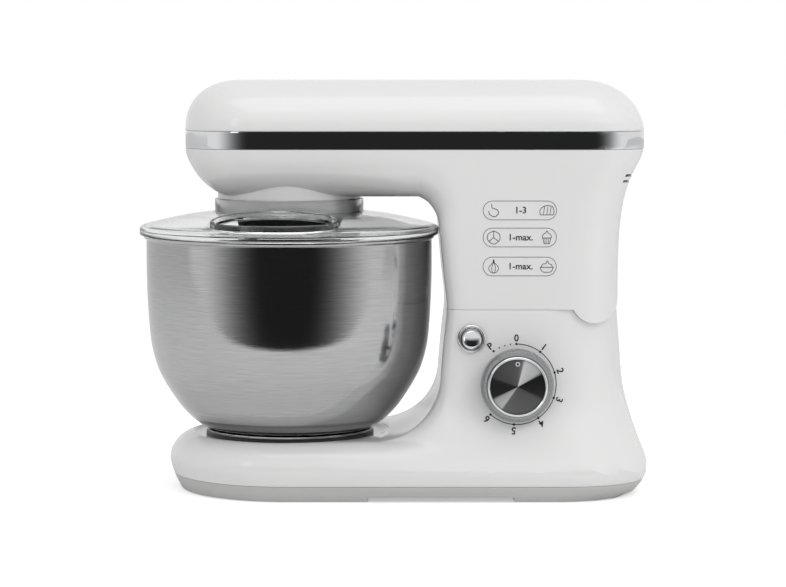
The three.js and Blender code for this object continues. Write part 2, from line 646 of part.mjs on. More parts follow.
function gearHousing() {
  const posts = [[-122, 30], [-122, -30], [-40, 36], [-40, -36]];
  const plate = trainOutline(53, 16)(241, 246);
  let housing = plate;
  for (const [x, y] of posts) housing = housing.add(rod(x, y, 3.5, 245, 261, 10));
  housing = housing.subtract(rod(BOWL_X, 0, boreFor(6, 16), 200, 300, 16));
  housing = housing.subtract(rod(PINION_X, 0, boreFor(4, 16), 241.6, 300, 16));
  addPart('gear_housing', housing, castMetal());
  const cover = trainOutline(53, 16)(261.3, 265).subtract(
    rod(PINION_X, 0, boreFor(4, 16), 200, 300, 16)).subtract(
    rod(BOWL_X, 0, boreFor(6, 16), 255, 263, 16));
  addPart('gear_cover', cover, castMetal());
  const collar = [[46, 213], [HUB_R, 213], [HUB_R, 240.6], [51.4, 240.6], [51.4, 221.5], [46, 221.5]];
  addPart('hub_collar', turned(BOWL_X, 0, collar), whiteGloss());
}

// ---- motor and belt --------------------------------------------------------------------------------------

function motor() {
  const can = turned(MOTOR_X, 0, [[18.8, 172], [33, 172], [33, 243], [7, 243], [7, 239], [18.8, 239]], 20);
  const bearing = turned(MOTOR_X, 0, [[boreFor(4), 237], [7.5, 237], [7.5, 245.5], [boreFor(4), 245.5]]);
  addPart('motor_body', can.add(bearing), steel());
  const rotor = turned(MOTOR_X, 0, [[0, 157], [4, 157], [4, 176], [18, 176], [18, 234], [4, 234],
    [4, 288], [0, 288]], FACETS);
  addPart('motor_rotor', rotor, finish(0x8c5a34, 0.5, 0.6));
  let bracket = box([MOTOR_X - 36, -36, 166], [MOTOR_X + 36, 36, 171.7]);
  for (const [dx, dy] of [[-32, -32], [-32, 32], [32, -32], [32, 32]]) {
    bracket = bracket.add(box(
      [MOTOR_X + dx - 4, dy - 4, SPLIT_Z + 4 + GAP], [MOTOR_X + dx + 4, dy + 4, 167]));
  }
  bracket = bracket.subtract(rod(MOTOR_X, 0, boreFor(4), 100, 200));
  addPart('motor_bracket', bracket, castMetal());
  let fan = turned(MOTOR_X, 0, [[4.3, 249], [9, 249], [9, 258], [4.3, 258]], 24);
  for (let i = 0; i < 9; i++) {
    const blade = box([8, -0.8, 249.5], [27, 0.8, 257.5]).rotate([0, 0, i * 40]).translate([MOTOR_X, 0, 0]);
    fan = fan.add(blade);
  }
  addPart('motor_fan', fan, nylon());
}

// A belt pulley: a flat rim between two low flanges.
function pulley(x, radius, bore, facets) {
  const flange = radius + 1.6;
  return turned(x, 0, [[bore, BELT_LOW - 2], [flange, BELT_LOW - 2], [flange, BELT_LOW - 0.5],
    [radius, BELT_LOW - 0.5], [radius, BELT_HIGH + 0.5], [flange, BELT_HIGH + 0.5],
    [flange, BELT_HIGH + 2], [bore, BELT_HIGH + 2]], facets);
}

// A belt outline at a distance from both rims, with straight runs that touch both arcs.
function beltOutline(extra) {
  const [small, large] = [MOTOR_PULLEY_R + extra, LARGE_PULLEY_R + extra];
  const lean = Math.acos((large - small) / (MOTOR_X - PINION_X));
  const shape = new THREE.Shape();
  shape.absarc(PINION_X, 0, large, lean, 2 * Math.PI - lean, false);
  shape.absarc(MOTOR_X, 0, small, -lean, lean, false);
  return shape;
}

function belt() {
  addPart('motor_pulley', pulley(MOTOR_X, MOTOR_PULLEY_R, 4 + GAP, 16), steel());
  let large = pulley(PINION_X, LARGE_PULLEY_R, 4 + GAP, 28);
  for (let i = 0; i < 5; i++) {
    const angle = (i * 2 * Math.PI) / 5;
    large = large.subtract(rod(PINION_X + 22 * Math.cos(angle), 22 * Math.sin(angle), 9, 200, 300, 6));
  }
  addPart('belt_pulley', large, nylon());
  const band = raised(beltOutline(BELT_THICK + GAP), BELT_LOW, BELT_HIGH, 11).subtract(
    raised(beltOutline(GAP), BELT_LOW - 5, BELT_HIGH + 5, 11));
  addPart('drive_belt', band, rubber());
}

// ---- lid and tool ----------------------------------------------------------------------------------------

const LID_CONE = [[58.3, 217], [84, 214], [100, 210.6], [114.6, 207]];

function splashLid() {
  const thick = 2;
  const skin = [[56.3, 227.6], [58.3, 227.6], [58.3, 219], ...LID_CONE.map(([r, z]) => [r, z]).slice(1),
    [LID_R, 204.5], [LID_R, 199.4], [115.4, 199.4], [115.4, 203.2],
    ...LID_CONE.slice(1, 3).reverse().map(([r, z]) => [r, z - thick]), [56.3, 217 - thick]];
  const lid = turned(BOWL_X, 0, skin, 40);
  const direction = THREE.MathUtils.degToRad(-95);
  const middle = [BOWL_X + 89.5 * Math.cos(direction), 89.5 * Math.sin(direction)];
  const oval = (grow, low, high) => {
    const shape = new THREE.Shape();
    shape.absellipse(0, 0, 46 + grow, 22.5 + grow, 0, 2 * Math.PI, false, 0);
    return raised(shape, low, high, 10).rotate([0, 0, -5]).translate([...middle, 0]);
  };
  const cone = (low, high) => turned(BOWL_X, 0, [
    [50, 218 + low], [58.3, 217 + low], [84, 214 + low], [100, 210.6 + low], [118, 206 + low],
    [118, 206 + high], [100, 210.6 + high], [84, 214 + high], [58.3, 217 + high], [50, 218 + high]], 40);
  const spout = oval(2.5, 195, 230).intersect(cone(-2, 4));
  const clip = box([BOWL_X - 62.8, -9, 217], [BOWL_X - 57, 9, 228]);
  const whole = join(lid, spout, clip).subtract(oval(0, 190, 240)).subtract(
    rod(BOWL_X, 0, HUB_R + GAP + 0.1, 190, 240, 40));
  addPart('splash_lid', whole, finish(0xf2f6f8, 0.05, 0, { transparent: true, opacity: 0.35 }));
}

// Half of the beater's outline, from the top down to the middle of its foot.
function beaterHalf(inset) {
  return [[9, 182], [30, 172], [50, 156], [60, 134], [60, 110], [54, 88], [42, 70], [26, 61], [0, 57.5]].map(
    ([x, z]) => [Math.max(x - inset, 0), z < 100 ? z + inset * 0.8 : z - inset * (z > 150 ? 0.8 : 0)]);
}

function beater() {
  const outline = (inset) => {
    const half = beaterHalf(inset);
    const other = half.slice(0, -1).reverse().map(([x, z]) => [-x, z]);
    return new THREE.Shape([...half, ...other].map(([x, z]) => new THREE.Vector2(TOOL_X + x, z)));
  };
  const thick = 5;
  let bars = box([TOOL_X - 5, -20, 50], [TOOL_X + 5, 20, 190]);
  for (const z of [84, 110, 136]) {
    for (const side of [-1, 1]) {
      const bar = box([0, -20, -3.5], [70, 20, 3.5]).rotate([0, -24, 0]);
      const placed = side > 0 ? bar.mirror([1, 0, 0]) : bar;
      bars = bars.add(placed.translate([TOOL_X, 0, z]));
    }
  }
  const window = sideExtruded(outline(9), -20, 20).subtract(bars);
  const frame = sideExtruded(outline(0), -thick, thick).subtract(window);
  const sleeve = rod(TOOL_X, 0, 9, 176, 200, 20).subtract(rod(TOOL_X, 0, 5 + GAP, 170, 210, 16));
  addPart('flat_beater', frame.subtract(rod(TOOL_X, 0, 8.8, 184, 210, 20)).subtract(
    rod(TOOL_X, 0, 5 + GAP, 183, 210, 16)).add(sleeve), castMetal());
  const shaft = join(rod(TOOL_X, 0, 5, 184, 232, 16), crossRod(TOOL_X, 203, 1.8, -8, 8, 8));
  addPart('tool_shaft', shaft, steel());
}

baseShell();
baseTray();
feetAndScrews();
bowlSeat();
hingeHardware();
electrics();
knob();
releaseButton();
bowl();
headShells();
gearing();
gearHousing();
motor();
belt();
splashLid();
beater();

export default model;
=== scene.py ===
import logging
import math
from dataclasses import dataclass, field
from enum import Enum
from typing import Callable, Sequence

import bpy
from mathutils import Matrix, Vector


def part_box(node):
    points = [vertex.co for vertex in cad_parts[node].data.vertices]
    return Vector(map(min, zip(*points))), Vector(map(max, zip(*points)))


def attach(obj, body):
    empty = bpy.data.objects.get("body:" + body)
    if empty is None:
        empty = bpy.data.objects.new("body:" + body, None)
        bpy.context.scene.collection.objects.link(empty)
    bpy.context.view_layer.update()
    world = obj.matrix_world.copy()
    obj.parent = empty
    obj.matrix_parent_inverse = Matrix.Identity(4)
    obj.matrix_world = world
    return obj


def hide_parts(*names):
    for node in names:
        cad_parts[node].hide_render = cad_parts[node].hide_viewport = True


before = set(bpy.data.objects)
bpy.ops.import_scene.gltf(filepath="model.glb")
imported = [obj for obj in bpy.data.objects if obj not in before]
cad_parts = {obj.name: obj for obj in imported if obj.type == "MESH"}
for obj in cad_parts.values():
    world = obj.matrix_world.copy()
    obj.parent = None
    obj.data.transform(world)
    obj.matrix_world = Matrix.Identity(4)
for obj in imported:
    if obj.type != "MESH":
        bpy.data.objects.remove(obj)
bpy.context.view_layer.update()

MM = 0.001
LOG = logging.getLogger("mixer")

Point = tuple[float, float]

# Places that several parts share, in millimetres.
BOWL_X = -81.5
KNOB_AT = (94.2, -74.0, 88.5)
BARREL_R = 20.0
CUT_REACH = 150.0

# How far round a section starts, so that it is never a single point.
ROUND_START = 0.9995


# ---- curves and roundings ---------------------------------------------------------------------------------

def mix(a: float, b: float, t: float) -> float:
    """The value that lies t of the way from a to b."""
    return a + (b - a) * t


def smoothstep(t: float) -> float:
    """A soft step from 0 to 1 as t does the same."""
    t = min(max(t, 0.0), 1.0)
    return t * t * (3 - 2 * t)


def swell(q: float, power: float = 2.0) -> float:
    """A rounding's height, from 0 at its edge (q 0) to 1 where it ends (q 1)."""
    q = min(max(q, 0.0), 1.0)
    return (1 - (1 - q) ** power) ** (1 / power)


def soft_spaced(count: int) -> list[float]:
    """Count + 1 places from 0 to 1 that crowd towards both ends."""
    return [(1 - math.cos(math.pi * i / count)) / 2 for i in range(count + 1)]


def smooth_path(points: Sequence[Point], per_span: int = 10) -> list[Point]:
    """A smooth curve through the points given.

    Args:
        points: the places it runs through, in order.
        per_span: how many steps are laid between two of them.

    Returns:
        The places along the curve.
    """
    ends = [points[0], *points, points[-1]]
    path = []
    for i in range(1, len(ends) - 2):
        p0, p1, p2, p3 = (Vector(p) for p in ends[i - 1:i + 3])
        for k in range(per_span):
            t = k / per_span
            value = 0.5 * (2 * p1 + (p2 - p0) * t + (2 * p0 - 5 * p1 + 4 * p2 - p3) * t * t
                           + (3 * p1 - p0 - 3 * p2 + p3) * t ** 3)
            path.append((value.x, value.y))
    path.append(tuple(points[-1]))
    return path


def along(path: Sequence[Point], count: int) -> list[Point]:
    """The path laid out again in count even steps.

    Args:
        path: the places of the path, in order.
        count: how many steps it gets.

    Returns:
        The places along it, one more than the steps.
    """
    lengths = [0.0]
    for a, b in zip(path, path[1:]):
        lengths.append(lengths[-1] + math.dist(a, b))
    result = []
    j = 0
    for i in range(count + 1):
        want = lengths[-1] * i / count
        while j < len(path) - 2 and lengths[j + 1] < want:
            j += 1
        t = (want - lengths[j]) / max(lengths[j + 1] - lengths[j], 1e-9)
        result.append((mix(path[j][0], path[j + 1][0], t), mix(path[j][1], path[j + 1][1], t)))
    return result


def x_at(path: Sequence[Point], z: float) -> float:
    """Reads x off a curve of the side view at a height.

    Args:
        path: the places of the curve, in order.
        z: the height.

    Returns:
        The place there, or the nearer end's where the curve does not reach the height.
    """
    for a, b in zip(path, path[1:]):
        if (a[1] - z) * (b[1] - z) <= 0 and a[1] != b[1]:
            return a[0] + (b[0] - a[0]) * (z - a[1]) / (b[1] - a[1])
    return path[0][0] if abs(z - path[0][1]) < abs(z - path[-1][1]) else path[-1][0]


def middle_of(node: str) -> Vector:
    """The middle of a node's box, in millimetres."""
    return sum(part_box(node), Vector()) / 2 / MM


# ---- the bench: mesh work as done by hand -----------------------------------------------------------------

class Bench:
    """Mesh operations that act on one piece at a time."""

    @staticmethod
    def clear() -> None:
        """Leaves edit mode and deselects everything."""
        if bpy.context.object and bpy.context.object.mode != "OBJECT":
            bpy.ops.object.mode_set(mode="OBJECT")
        bpy.ops.object.select_all(action="DESELECT")

    @staticmethod
    def take(piece: bpy.types.Object) -> bpy.types.Object:
        """Makes one piece the selected and active one.

        Args:
            piece: the piece to take up.

        Returns:
            The same piece.
        """
        Bench.clear()
        piece.select_set(True)
        bpy.context.view_layer.objects.active = piece
        return piece

    @staticmethod
    def skin(name: str, rows: Sequence[Sequence[Vector]], round_about: bool = True,
             caps: bool = False) -> bpy.types.Object:
        """Lays a grid over rows of points, in millimetres.

        Args:
            name: the piece's name.
            rows: rows of equally many points.
            round_about: whether each row closes on itself.
            caps: whether the first and last rows are drawn together at their middle.

        Returns:
            The new piece, merged and with its faces turned out.
        """
        laid = [list(row) for row in rows]
        if caps:
            laid = [Bench._middle(laid[0]), *laid, Bench._middle(laid[-1])]
        if round_about:
            laid = [[*row, row[0]] for row in laid]
        across, up = len(laid[0]), len(laid)
        Bench.clear()
        bpy.ops.mesh.primitive_grid_add(x_subdivisions=across - 1, y_subdivisions=up - 1, size=1)
        piece = bpy.context.object
        piece.name = name
        flat = [c * MM for row in laid for point in row for c in point]
        piece.data.vertices.foreach_set("co", flat)
        piece.matrix_world = Matrix.Identity(4)
        Bench.tidy(piece)
        return piece

    @staticmethod
    def _middle(row: list[Vector]) -> list[Vector]:
        """The row drawn together at its middle."""
        centre = sum(row, Vector()) / len(row)
        return [centre] * len(row)

    @staticmethod
    def tidy(piece: bpy.types.Object) -> None:
        """Merges doubled points and turns the faces outwards.

        Args:
            piece: the piece to clean.
        """
        Bench.take(piece)
        bpy.ops.object.mode_set(mode="EDIT")
        bpy.ops.mesh.select_all(action="SELECT")
        bpy.ops.mesh.remove_doubles(threshold=1e-6)
        bpy.ops.mesh.dissolve_degenerate(threshold=1e-7)
        bpy.ops.mesh.normals_make_consistent(inside=False)
        bpy.ops.object.mode_set(mode="OBJECT")

    @staticmethod
    def turn(name: str, profile: Sequence[Point], centre: Vector, facets: int = 128,
             facing: str = "+Z") -> bpy.types.Object:
        """Turns a closed profile about an axis, as on a lathe.

        Args:
            name: the piece's name.
            profile: radius and height of each point, in millimetres, from the axis round and back.
            centre: a point of the axis, in millimetres, where height is 0.
            facets: how many steps make the full turn.
            facing: "+Z" for an upright axis, "-Y" for one that points out of the near side.

        Returns:
            The turned piece.
        """
        rows = []
        for radius, height in profile:
            row = []
            for i in range(facets):
                angle = 2 * math.pi * i / facets
                across, deep = radius * math.cos(angle), radius * math.sin(angle)
                local = (across, deep, height) if facing == "+Z" else (across, -height, deep)
                row.append(centre + Vector(local))
            rows.append(row)
        if profile[0][0] > 0:
            rows.append(rows[0])
        return Bench.skin(name, rows)

    @staticmethod
    def block(name: str, low: Sequence[float], high: Sequence[float]) -> bpy.types.Object:
        """A plain block between two corners, in millimetres, used to cut or to add.

        Args:
            name: the block's name.
            low: its lowest corner.
            high: its highest corner.

        Returns:
            The block.
        """
        Bench.clear()
        middle = [(a + b) / 2 * MM for a, b in zip(low, high)]
        size = [abs(b - a) * MM for a, b in zip(low, high)]
        bpy.ops.mesh.primitive_cube_add(size=1, location=middle, scale=size)
        piece = bpy.context.object
        piece.name = name
        Bench.settle(piece)
        return piece

    @staticmethod
    def rod(name: str, start: Sequence[float], end: Sequence[float], radius: float,
            facets: int = 64) -> bpy.types.Object:
        """A round rod between two points, in millimetres.

        Args:
            name: the rod's name.
            start: the middle of one end.
            end: the middle of the other end.
            radius: its radius.
            facets: how many sides make it round.

        Returns:
            The rod.
        """
        Bench.clear()
        a, b = Vector(start) * MM, Vector(end) * MM
        bpy.ops.mesh.primitive_cylinder_add(vertices=facets, radius=radius * MM, depth=(b - a).length,
                                            location=(a + b) / 2)
        piece = bpy.context.object
        piece.name = name
        piece.rotation_mode = "QUATERNION"
        piece.rotation_quaternion = (b - a).to_track_quat("Z", "Y")
        Bench.settle(piece)
        return piece

    @staticmethod
    def settle(piece: bpy.types.Object) -> None:
        """Puts the piece's place, turn and scale into its mesh."""
        Bench.take(piece)
        bpy.ops.object.transform_apply(location=True, rotation=True, scale=True)

    @staticmethod
    def combine(piece: bpy.types.Object, tool: bpy.types.Object, how: str = "DIFFERENCE") -> bpy.types.Object:
        """Cuts the tool away from the piece, or adds it, and removes the tool.

        Args:
            piece: the piece that is kept.
            tool: the piece that is used up.
            how: "DIFFERENCE" to cut the tool away, "UNION" to add it.

        Returns:
            The kept piece.
        """
        Bench.take(piece)
        modifier = piece.modifiers.new("combine", "BOOLEAN")
        modifier.object = tool
        modifier.operation = how
        modifier.solver = "EXACT"
        bpy.ops.object.modifier_apply(modifier=modifier.name)
        bpy.data.objects.remove(tool)
        return piece

    @staticmethod
    def slice(piece: bpy.types.Object, z: float, keep_above: bool, fill: bool = False) -> None:
        """Cuts the piece level at a height in millimetres and keeps one side.

        Args:
            piece: the piece to cut.
            z: the height of the cut.
            keep_above: whether the upper side stays, or else the lower.
            fill: whether the cut is closed with a face.
        """
        Bench.take(piece)
        bpy.ops.object.mode_set(mode="EDIT")
        bpy.ops.mesh.select_all(action="SELECT")
        bpy.ops.mesh.bisect(plane_co=(0, 0, z * MM), plane_no=(0, 0, 1), use_fill=fill,
                            clear_inner=keep_above, clear_outer=not keep_above)
        bpy.ops.object.mode_set(mode="OBJECT")

    @staticmethod
    def open_up(piece: bpy.types.Object, chosen: Callable[[bpy.types.MeshPolygon], bool]) -> None:
        """Removes the faces that the test picks.

        Args:
            piece: the piece to open.
            chosen: tells of each face whether it goes.
        """
        Bench.take(piece)
        for face in piece.data.polygons:
            face.select = chosen(face)
        bpy.ops.object.mode_set(mode="EDIT")
        bpy.ops.mesh.select_mode(type="FACE")
        bpy.ops.mesh.delete(type="FACE")
        bpy.ops.object.mode_set(mode="OBJECT")

    @staticmethod
    def thicken(piece: bpy.types.Object, wall: float) -> None:
        """Gives an open skin a wall towards its inside, in millimetres.

        Args:
            piece: the open skin.
            wall: the wall's thickness.
        """
        Bench.take(piece)
        modifier = piece.modifiers.new("wall", "SOLIDIFY")
        modifier.thickness = wall * MM
        modifier.offset = -1
        modifier.use_even_offset = False
        bpy.ops.object.modifier_apply(modifier=modifier.name)

    @staticmethod
    def soften(piece: bpy.types.Object, width: float, segments: int = 2, angle: float = 40) -> None:
        """Rounds the sharp edges, width in millimetres.

        Args:
            piece: the piece to soften.
            width: how wide the roundings are.
            segments: how many faces make one.
            angle: how sharp an edge must be to be rounded, in degrees.
        """
        Bench.take(piece)
        modifier = piece.modifiers.new("edges", "BEVEL")
        modifier.width = width * MM
        modifier.segments = segments
        modifier.limit_method = "ANGLE"
        modifier.angle_limit = math.radians(angle)
        modifier.use_clamp_overlap = True
        bpy.ops.object.modifier_apply(modifier=modifier.name)

    @staticmethod
    def polish(piece: bpy.types.Object, angle: float = 30) -> None:
        """Shades the piece smooth up to an angle."""
        Bench.take(piece)
        bpy.ops.object.shade_smooth_by_angle(angle=math.radians(angle))

    @staticmethod
    def weld(pieces: Sequence[bpy.types.Object], name: str) -> bpy.types.Object:
        """Joins several meshes into one piece.

        Args:
            pieces: the meshes to join.
            name: the joined piece's name.

        Returns:
            The joined piece.
        """
        Bench.clear()
        for piece in pieces:
            piece.select_set(True)
        bpy.context.view_layer.objects.active = pieces[0]
        bpy.ops.object.join()
        pieces[0].name = name
        return pieces[0]


def fit_out(piece: bpy.types.Object, material: bpy.types.Material, body: str, slot: str,
            *nodes: str) -> bpy.types.Object:
    """Dresses a finished piece and hands it to the frame.

    Args:
        piece: the finished mesh.
        material: its finish.
        body: the moving body that it rides on.
        slot: the record's material slot; not used.
        nodes: the design's nodes that it stands for.

    Returns:
        The same piece.
    """
    piece.data.materials.clear()
    piece.data.materials.append(material)
    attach(piece, body)
    if nodes:
        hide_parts(*nodes)
    LOG.info("%s: %d faces on %s", piece.name, len(piece.data.polygons), body)
    return piece


# ---- finishes ---------------------------------------------------------------------------------------------

class Grain(Enum):
    """How a pattern runs over a surface."""

    EVEN = (1.0, 1.0, 1.0)
    LEVEL = (0.02, 0.02, 1.0)


def surface_group() -> bpy.types.NodeTree:
    """The shared surface wear: a height for bumps, a roughness and a tone that all vary.

    Returns:
        The node group, made once.
    """
    name = "surface wear"
    if name in bpy.data.node_groups:
        return bpy.data.node_groups[name]
    group = bpy.data.node_groups.new(name, "ShaderNodeTree")
    sockets = group.interface
    defaults = (("Fine scale", 900.0), ("Broad scale", 14.0), ("Roughness", 0.3), ("Roughness spread", 0.08))
    for label, value in defaults:
        socket = sockets.new_socket(name=label, in_out="INPUT", socket_type="NodeSocketFloat")
        socket.default_value = value
    sockets.new_socket(name="Stretch", in_out="INPUT", socket_type="NodeSocketVector")
    for label, kind in (("Height", "Float"), ("Roughness", "Float"), ("Tone", "Float")):
        sockets.new_socket(name=label, in_out="OUTPUT", socket_type=f"NodeSocket{kind}")
    nodes, links = group.nodes, group.links
    inlet, outlet = nodes.new("NodeGroupInput"), nodes.new("NodeGroupOutput")
    place = nodes.new("ShaderNodeTexCoord")
    stretched = nodes.new("ShaderNodeVectorMath")
    stretched.operation = "MULTIPLY"
    links.new(place.outputs["Object"], stretched.inputs[0])
    links.new(inlet.outputs["Stretch"], stretched.inputs[1])
    fine, broad = nodes.new("ShaderNodeTexNoise"), nodes.new("ShaderNodeTexNoise")
    fine.inputs["Detail"].default_value = 3
    broad.inputs["Detail"].default_value = 4
    links.new(stretched.outputs[0], fine.inputs["Vector"])
    links.new(place.outputs["Object"], broad.inputs["Vector"])
    links.new(inlet.outputs["Fine scale"], fine.inputs["Scale"])
    links.new(inlet.outputs["Broad scale"], broad.inputs["Scale"])
    spread = nodes.new("ShaderNodeMath")
    spread.operation = "MULTIPLY_ADD"
    centred = nodes.new("ShaderNodeMath")
    centred.operation = "SUBTRACT"
    centred.inputs[1].default_value = 0.5
    links.new(broad.outputs["Fac"], centred.inputs[0])
    links.new(centred.outputs[0], spread.inputs[0])
    links.new(inlet.outputs["Roughness spread"], spread.inputs[1])
    links.new(inlet.outputs["Roughness"], spread.inputs[2])
    links.new(fine.outputs["Fac"], outlet.inputs["Height"])
    links.new(spread.outputs[0], outlet.inputs["Roughness"])
    links.new(broad.outputs["Fac"], outlet.inputs["Tone"])
    return group


@dataclass(frozen=True)
class Finish:
    """One finish as a workshop would order it, with its own varied surface."""

    name: str
    light: tuple[float, float, float]
    dark: tuple[float, float, float]
    roughness: float
    spread: float = 0.06
    metallic: float = 0.0
    fine_scale: float = 900.0
    broad_scale: float = 14.0
    bump: float = 0.02
    bump_depth: float = 0.0002
    grain: Grain = Grain.EVEN
    coat: float = 0.0
    transmission: float = 0.0
    ior: float = 1.5
    specular: float = 0.5

    def make(self) -> bpy.types.Material:
        """Builds the finish's material, once.

        Returns:
            The material, shared by all pieces with this finish.
        """
        if self.name in bpy.data.materials:
            return bpy.data.materials[self.name]
        material = bpy.data.materials.new(self.name)
        material.use_nodes = True
        nodes, links = material.node_tree.nodes, material.node_tree.links
        shader = nodes["Principled BSDF"]
        wear = nodes.new("ShaderNodeGroup")
        wear.node_tree = surface_group()
        wear.inputs["Fine scale"].default_value = self.fine_scale
        wear.inputs["Broad scale"].default_value = self.broad_scale
        wear.inputs["Roughness"].default_value = self.roughness
        wear.inputs["Roughness spread"].default_value = self.spread
        wear.inputs["Stretch"].default_value = self.grain.value
        tone = nodes.new("ShaderNodeMix")
        tone.data_type = "RGBA"
        tone.inputs["A"].default_value = (*self.dark, 1)
        tone.inputs["B"].default_value = (*self.light, 1)
        links.new(wear.outputs["Tone"], tone.inputs["Factor"])
        links.new(tone.outputs["Result"], shader.inputs["Base Color"])
        links.new(wear.outputs["Roughness"], shader.inputs["Roughness"])
        bump = nodes.new("ShaderNodeBump")
        bump.inputs["Strength"].default_value = self.bump
        bump.inputs["Distance"].default_value = self.bump_depth
        links.new(wear.outputs["Height"], bump.inputs["Height"])
        links.new(bump.outputs["Normal"], shader.inputs["Normal"])
        shader.inputs["Metallic"].default_value = self.metallic
        shader.inputs["Coat Weight"].default_value = self.coat
        shader.inputs["Coat Roughness"].default_value = 0.04
        shader.inputs["Transmission Weight"].default_value = self.transmission
        shader.inputs["IOR"].default_value = self.ior
        shader.inputs["Specular IOR Level"].default_value = self.specular
        self.add_detail(material, shader, wear, bump)
        return material

    def add_detail(self, material: bpy.types.Material, shader: bpy.types.Node, wear: bpy.types.Node,
                   bump: bpy.types.Node) -> None:
        """Adds what only this finish has; the plain finish adds nothing."""


@dataclass(frozen=True)
class TurnedFinish(Finish):
    """Metal turned on a lathe: rings in the bump, and a painted reflection fan in the base colour."""

    centre: tuple[float, float, float] = (0.0, 0.0, 0.0)
    rings: float = 2600.0
    # set to paint the reflection fan into the base colour; 0 leaves it out
    fan: float = 0.0

    def add_detail(self, material: bpy.types.Material, shader: bpy.types.Node, wear: bpy.types.Node,
                   bump: bpy.types.Node) -> None:
        """Adds the rings to the bump and the painted reflection fan to the base colour.

        Args:
            material: the material being made.
            shader: its surface shader.
            wear: its varied surface; not used.
            bump: its bump node.
        """
        nodes, links = material.node_tree.nodes, material.node_tree.links
        place = nodes.new("ShaderNodeTexCoord")
        shift = nodes.new("ShaderNodeMapping")
        shift.inputs["Location"].default_value = [-c for c in self.centre]
        links.new(place.outputs["Object"], shift.inputs["Vector"])
        flat = nodes.new("ShaderNodeVectorMath")
        flat.operation = "MULTIPLY"
        flat.inputs[1].default_value = (1, 0, 1)
        links.new(shift.outputs["Vector"], flat.inputs[0])
        length = nodes.new("ShaderNodeVectorMath")
        length.operation = "LENGTH"
        links.new(flat.outputs[0], length.inputs[0])
        line = nodes.new("ShaderNodeTexNoise")
        line.noise_dimensions = "1D"
        line.inputs["Scale"].default_value = self.rings
        line.inputs["Detail"].default_value = 2
        links.new(length.outputs["Value"], line.inputs["W"])
        links.new(line.outputs["Fac"], bump.inputs["Height"])
        if self.fan:
            self.add_fan(material, shader, shift)

    def add_fan(self, material: bpy.types.Material, shader: bpy.types.Node, shift: bpy.types.Node) -> None:
        """Paints the spun face's reflection into the base colour: a fan of lighter and darker sectors.

        Args:
            material: the material being made.
            shader: its surface shader.
            shift: the place, measured from the axis.
        """
        nodes, links = material.node_tree.nodes, material.node_tree.links
        split = nodes.new("ShaderNodeSeparateXYZ")
        links.new(shift.outputs["Vector"], split.inputs[0])
        turn = nodes.new("ShaderNodeMath")
        turn.operation = "ARCTAN2"
        links.new(split.outputs["X"], turn.inputs[0])
        links.new(split.outputs["Z"], turn.inputs[1])
        ramp = nodes.new("ShaderNodeValToRGB")
        level = nodes.new("ShaderNodeMapRange")
        level.inputs["From Min"].default_value = -math.pi
        level.inputs["From Max"].default_value = math.pi
        links.new(turn.outputs[0], level.inputs["Value"])
        links.new(level.outputs[0], ramp.inputs["Fac"])
        # painted reflection: light and dark wedges by angle about the axis, where a spun face reflects light
        # and dark
        painted_reflection_stops = ((0.0, 0.1), (0.09, 0.12), (0.105, 0.5), (0.165, 0.4), (0.185, 0.012), (0.295, 0.02),
                 (0.315, 0.08), (0.5, 0.12), (0.53, 0.2), (0.545, 0.78), (0.655, 0.55), (0.675, 0.01),
                 (0.81, 0.018), (0.835, 0.09), (1.0, 0.1))
        elements = ramp.color_ramp.elements
        while len(elements) < len(painted_reflection_stops):
            elements.new(0.5)
        for element, (position, value) in zip(elements, painted_reflection_stops):
            element.position = position
            element.color = (value, value, value, 1)
        links.new(ramp.outputs["Color"], shader.inputs["Base Color"])


@dataclass(frozen=True)
class BrushedFinish(Finish):
    """Steel brushed level all round: fine lines in colour, roughness and bump."""

    def add_detail(self, material: bpy.types.Material, shader: bpy.types.Node, wear: bpy.types.Node,
                   bump: bpy.types.Node) -> None:
        """Adds the lines to the tone and the roughness.

        Args:
            material: the material being made.
            shader: its surface shader.
            wear: its varied surface.
            bump: its bump node; not used.
        """
        nodes, links = material.node_tree.nodes, material.node_tree.links
        ramp = nodes.new("ShaderNodeMix")
        ramp.data_type = "RGBA"
        ramp.inputs["A"].default_value = (*self.dark, 1)
        ramp.inputs["B"].default_value = (*self.light, 1)
        spread = nodes.new("ShaderNodeMapRange")
        spread.inputs["From Min"].default_value = 0.3
        spread.inputs["From Max"].default_value = 0.7
        links.new(wear.outputs["Height"], spread.inputs["Value"])
        links.new(spread.outputs["Result"], ramp.inputs["Factor"])
        links.new(ramp.outputs["Result"], shader.inputs["Base Color"])
        shader.inputs["Anisotropic"].default_value = 0.6


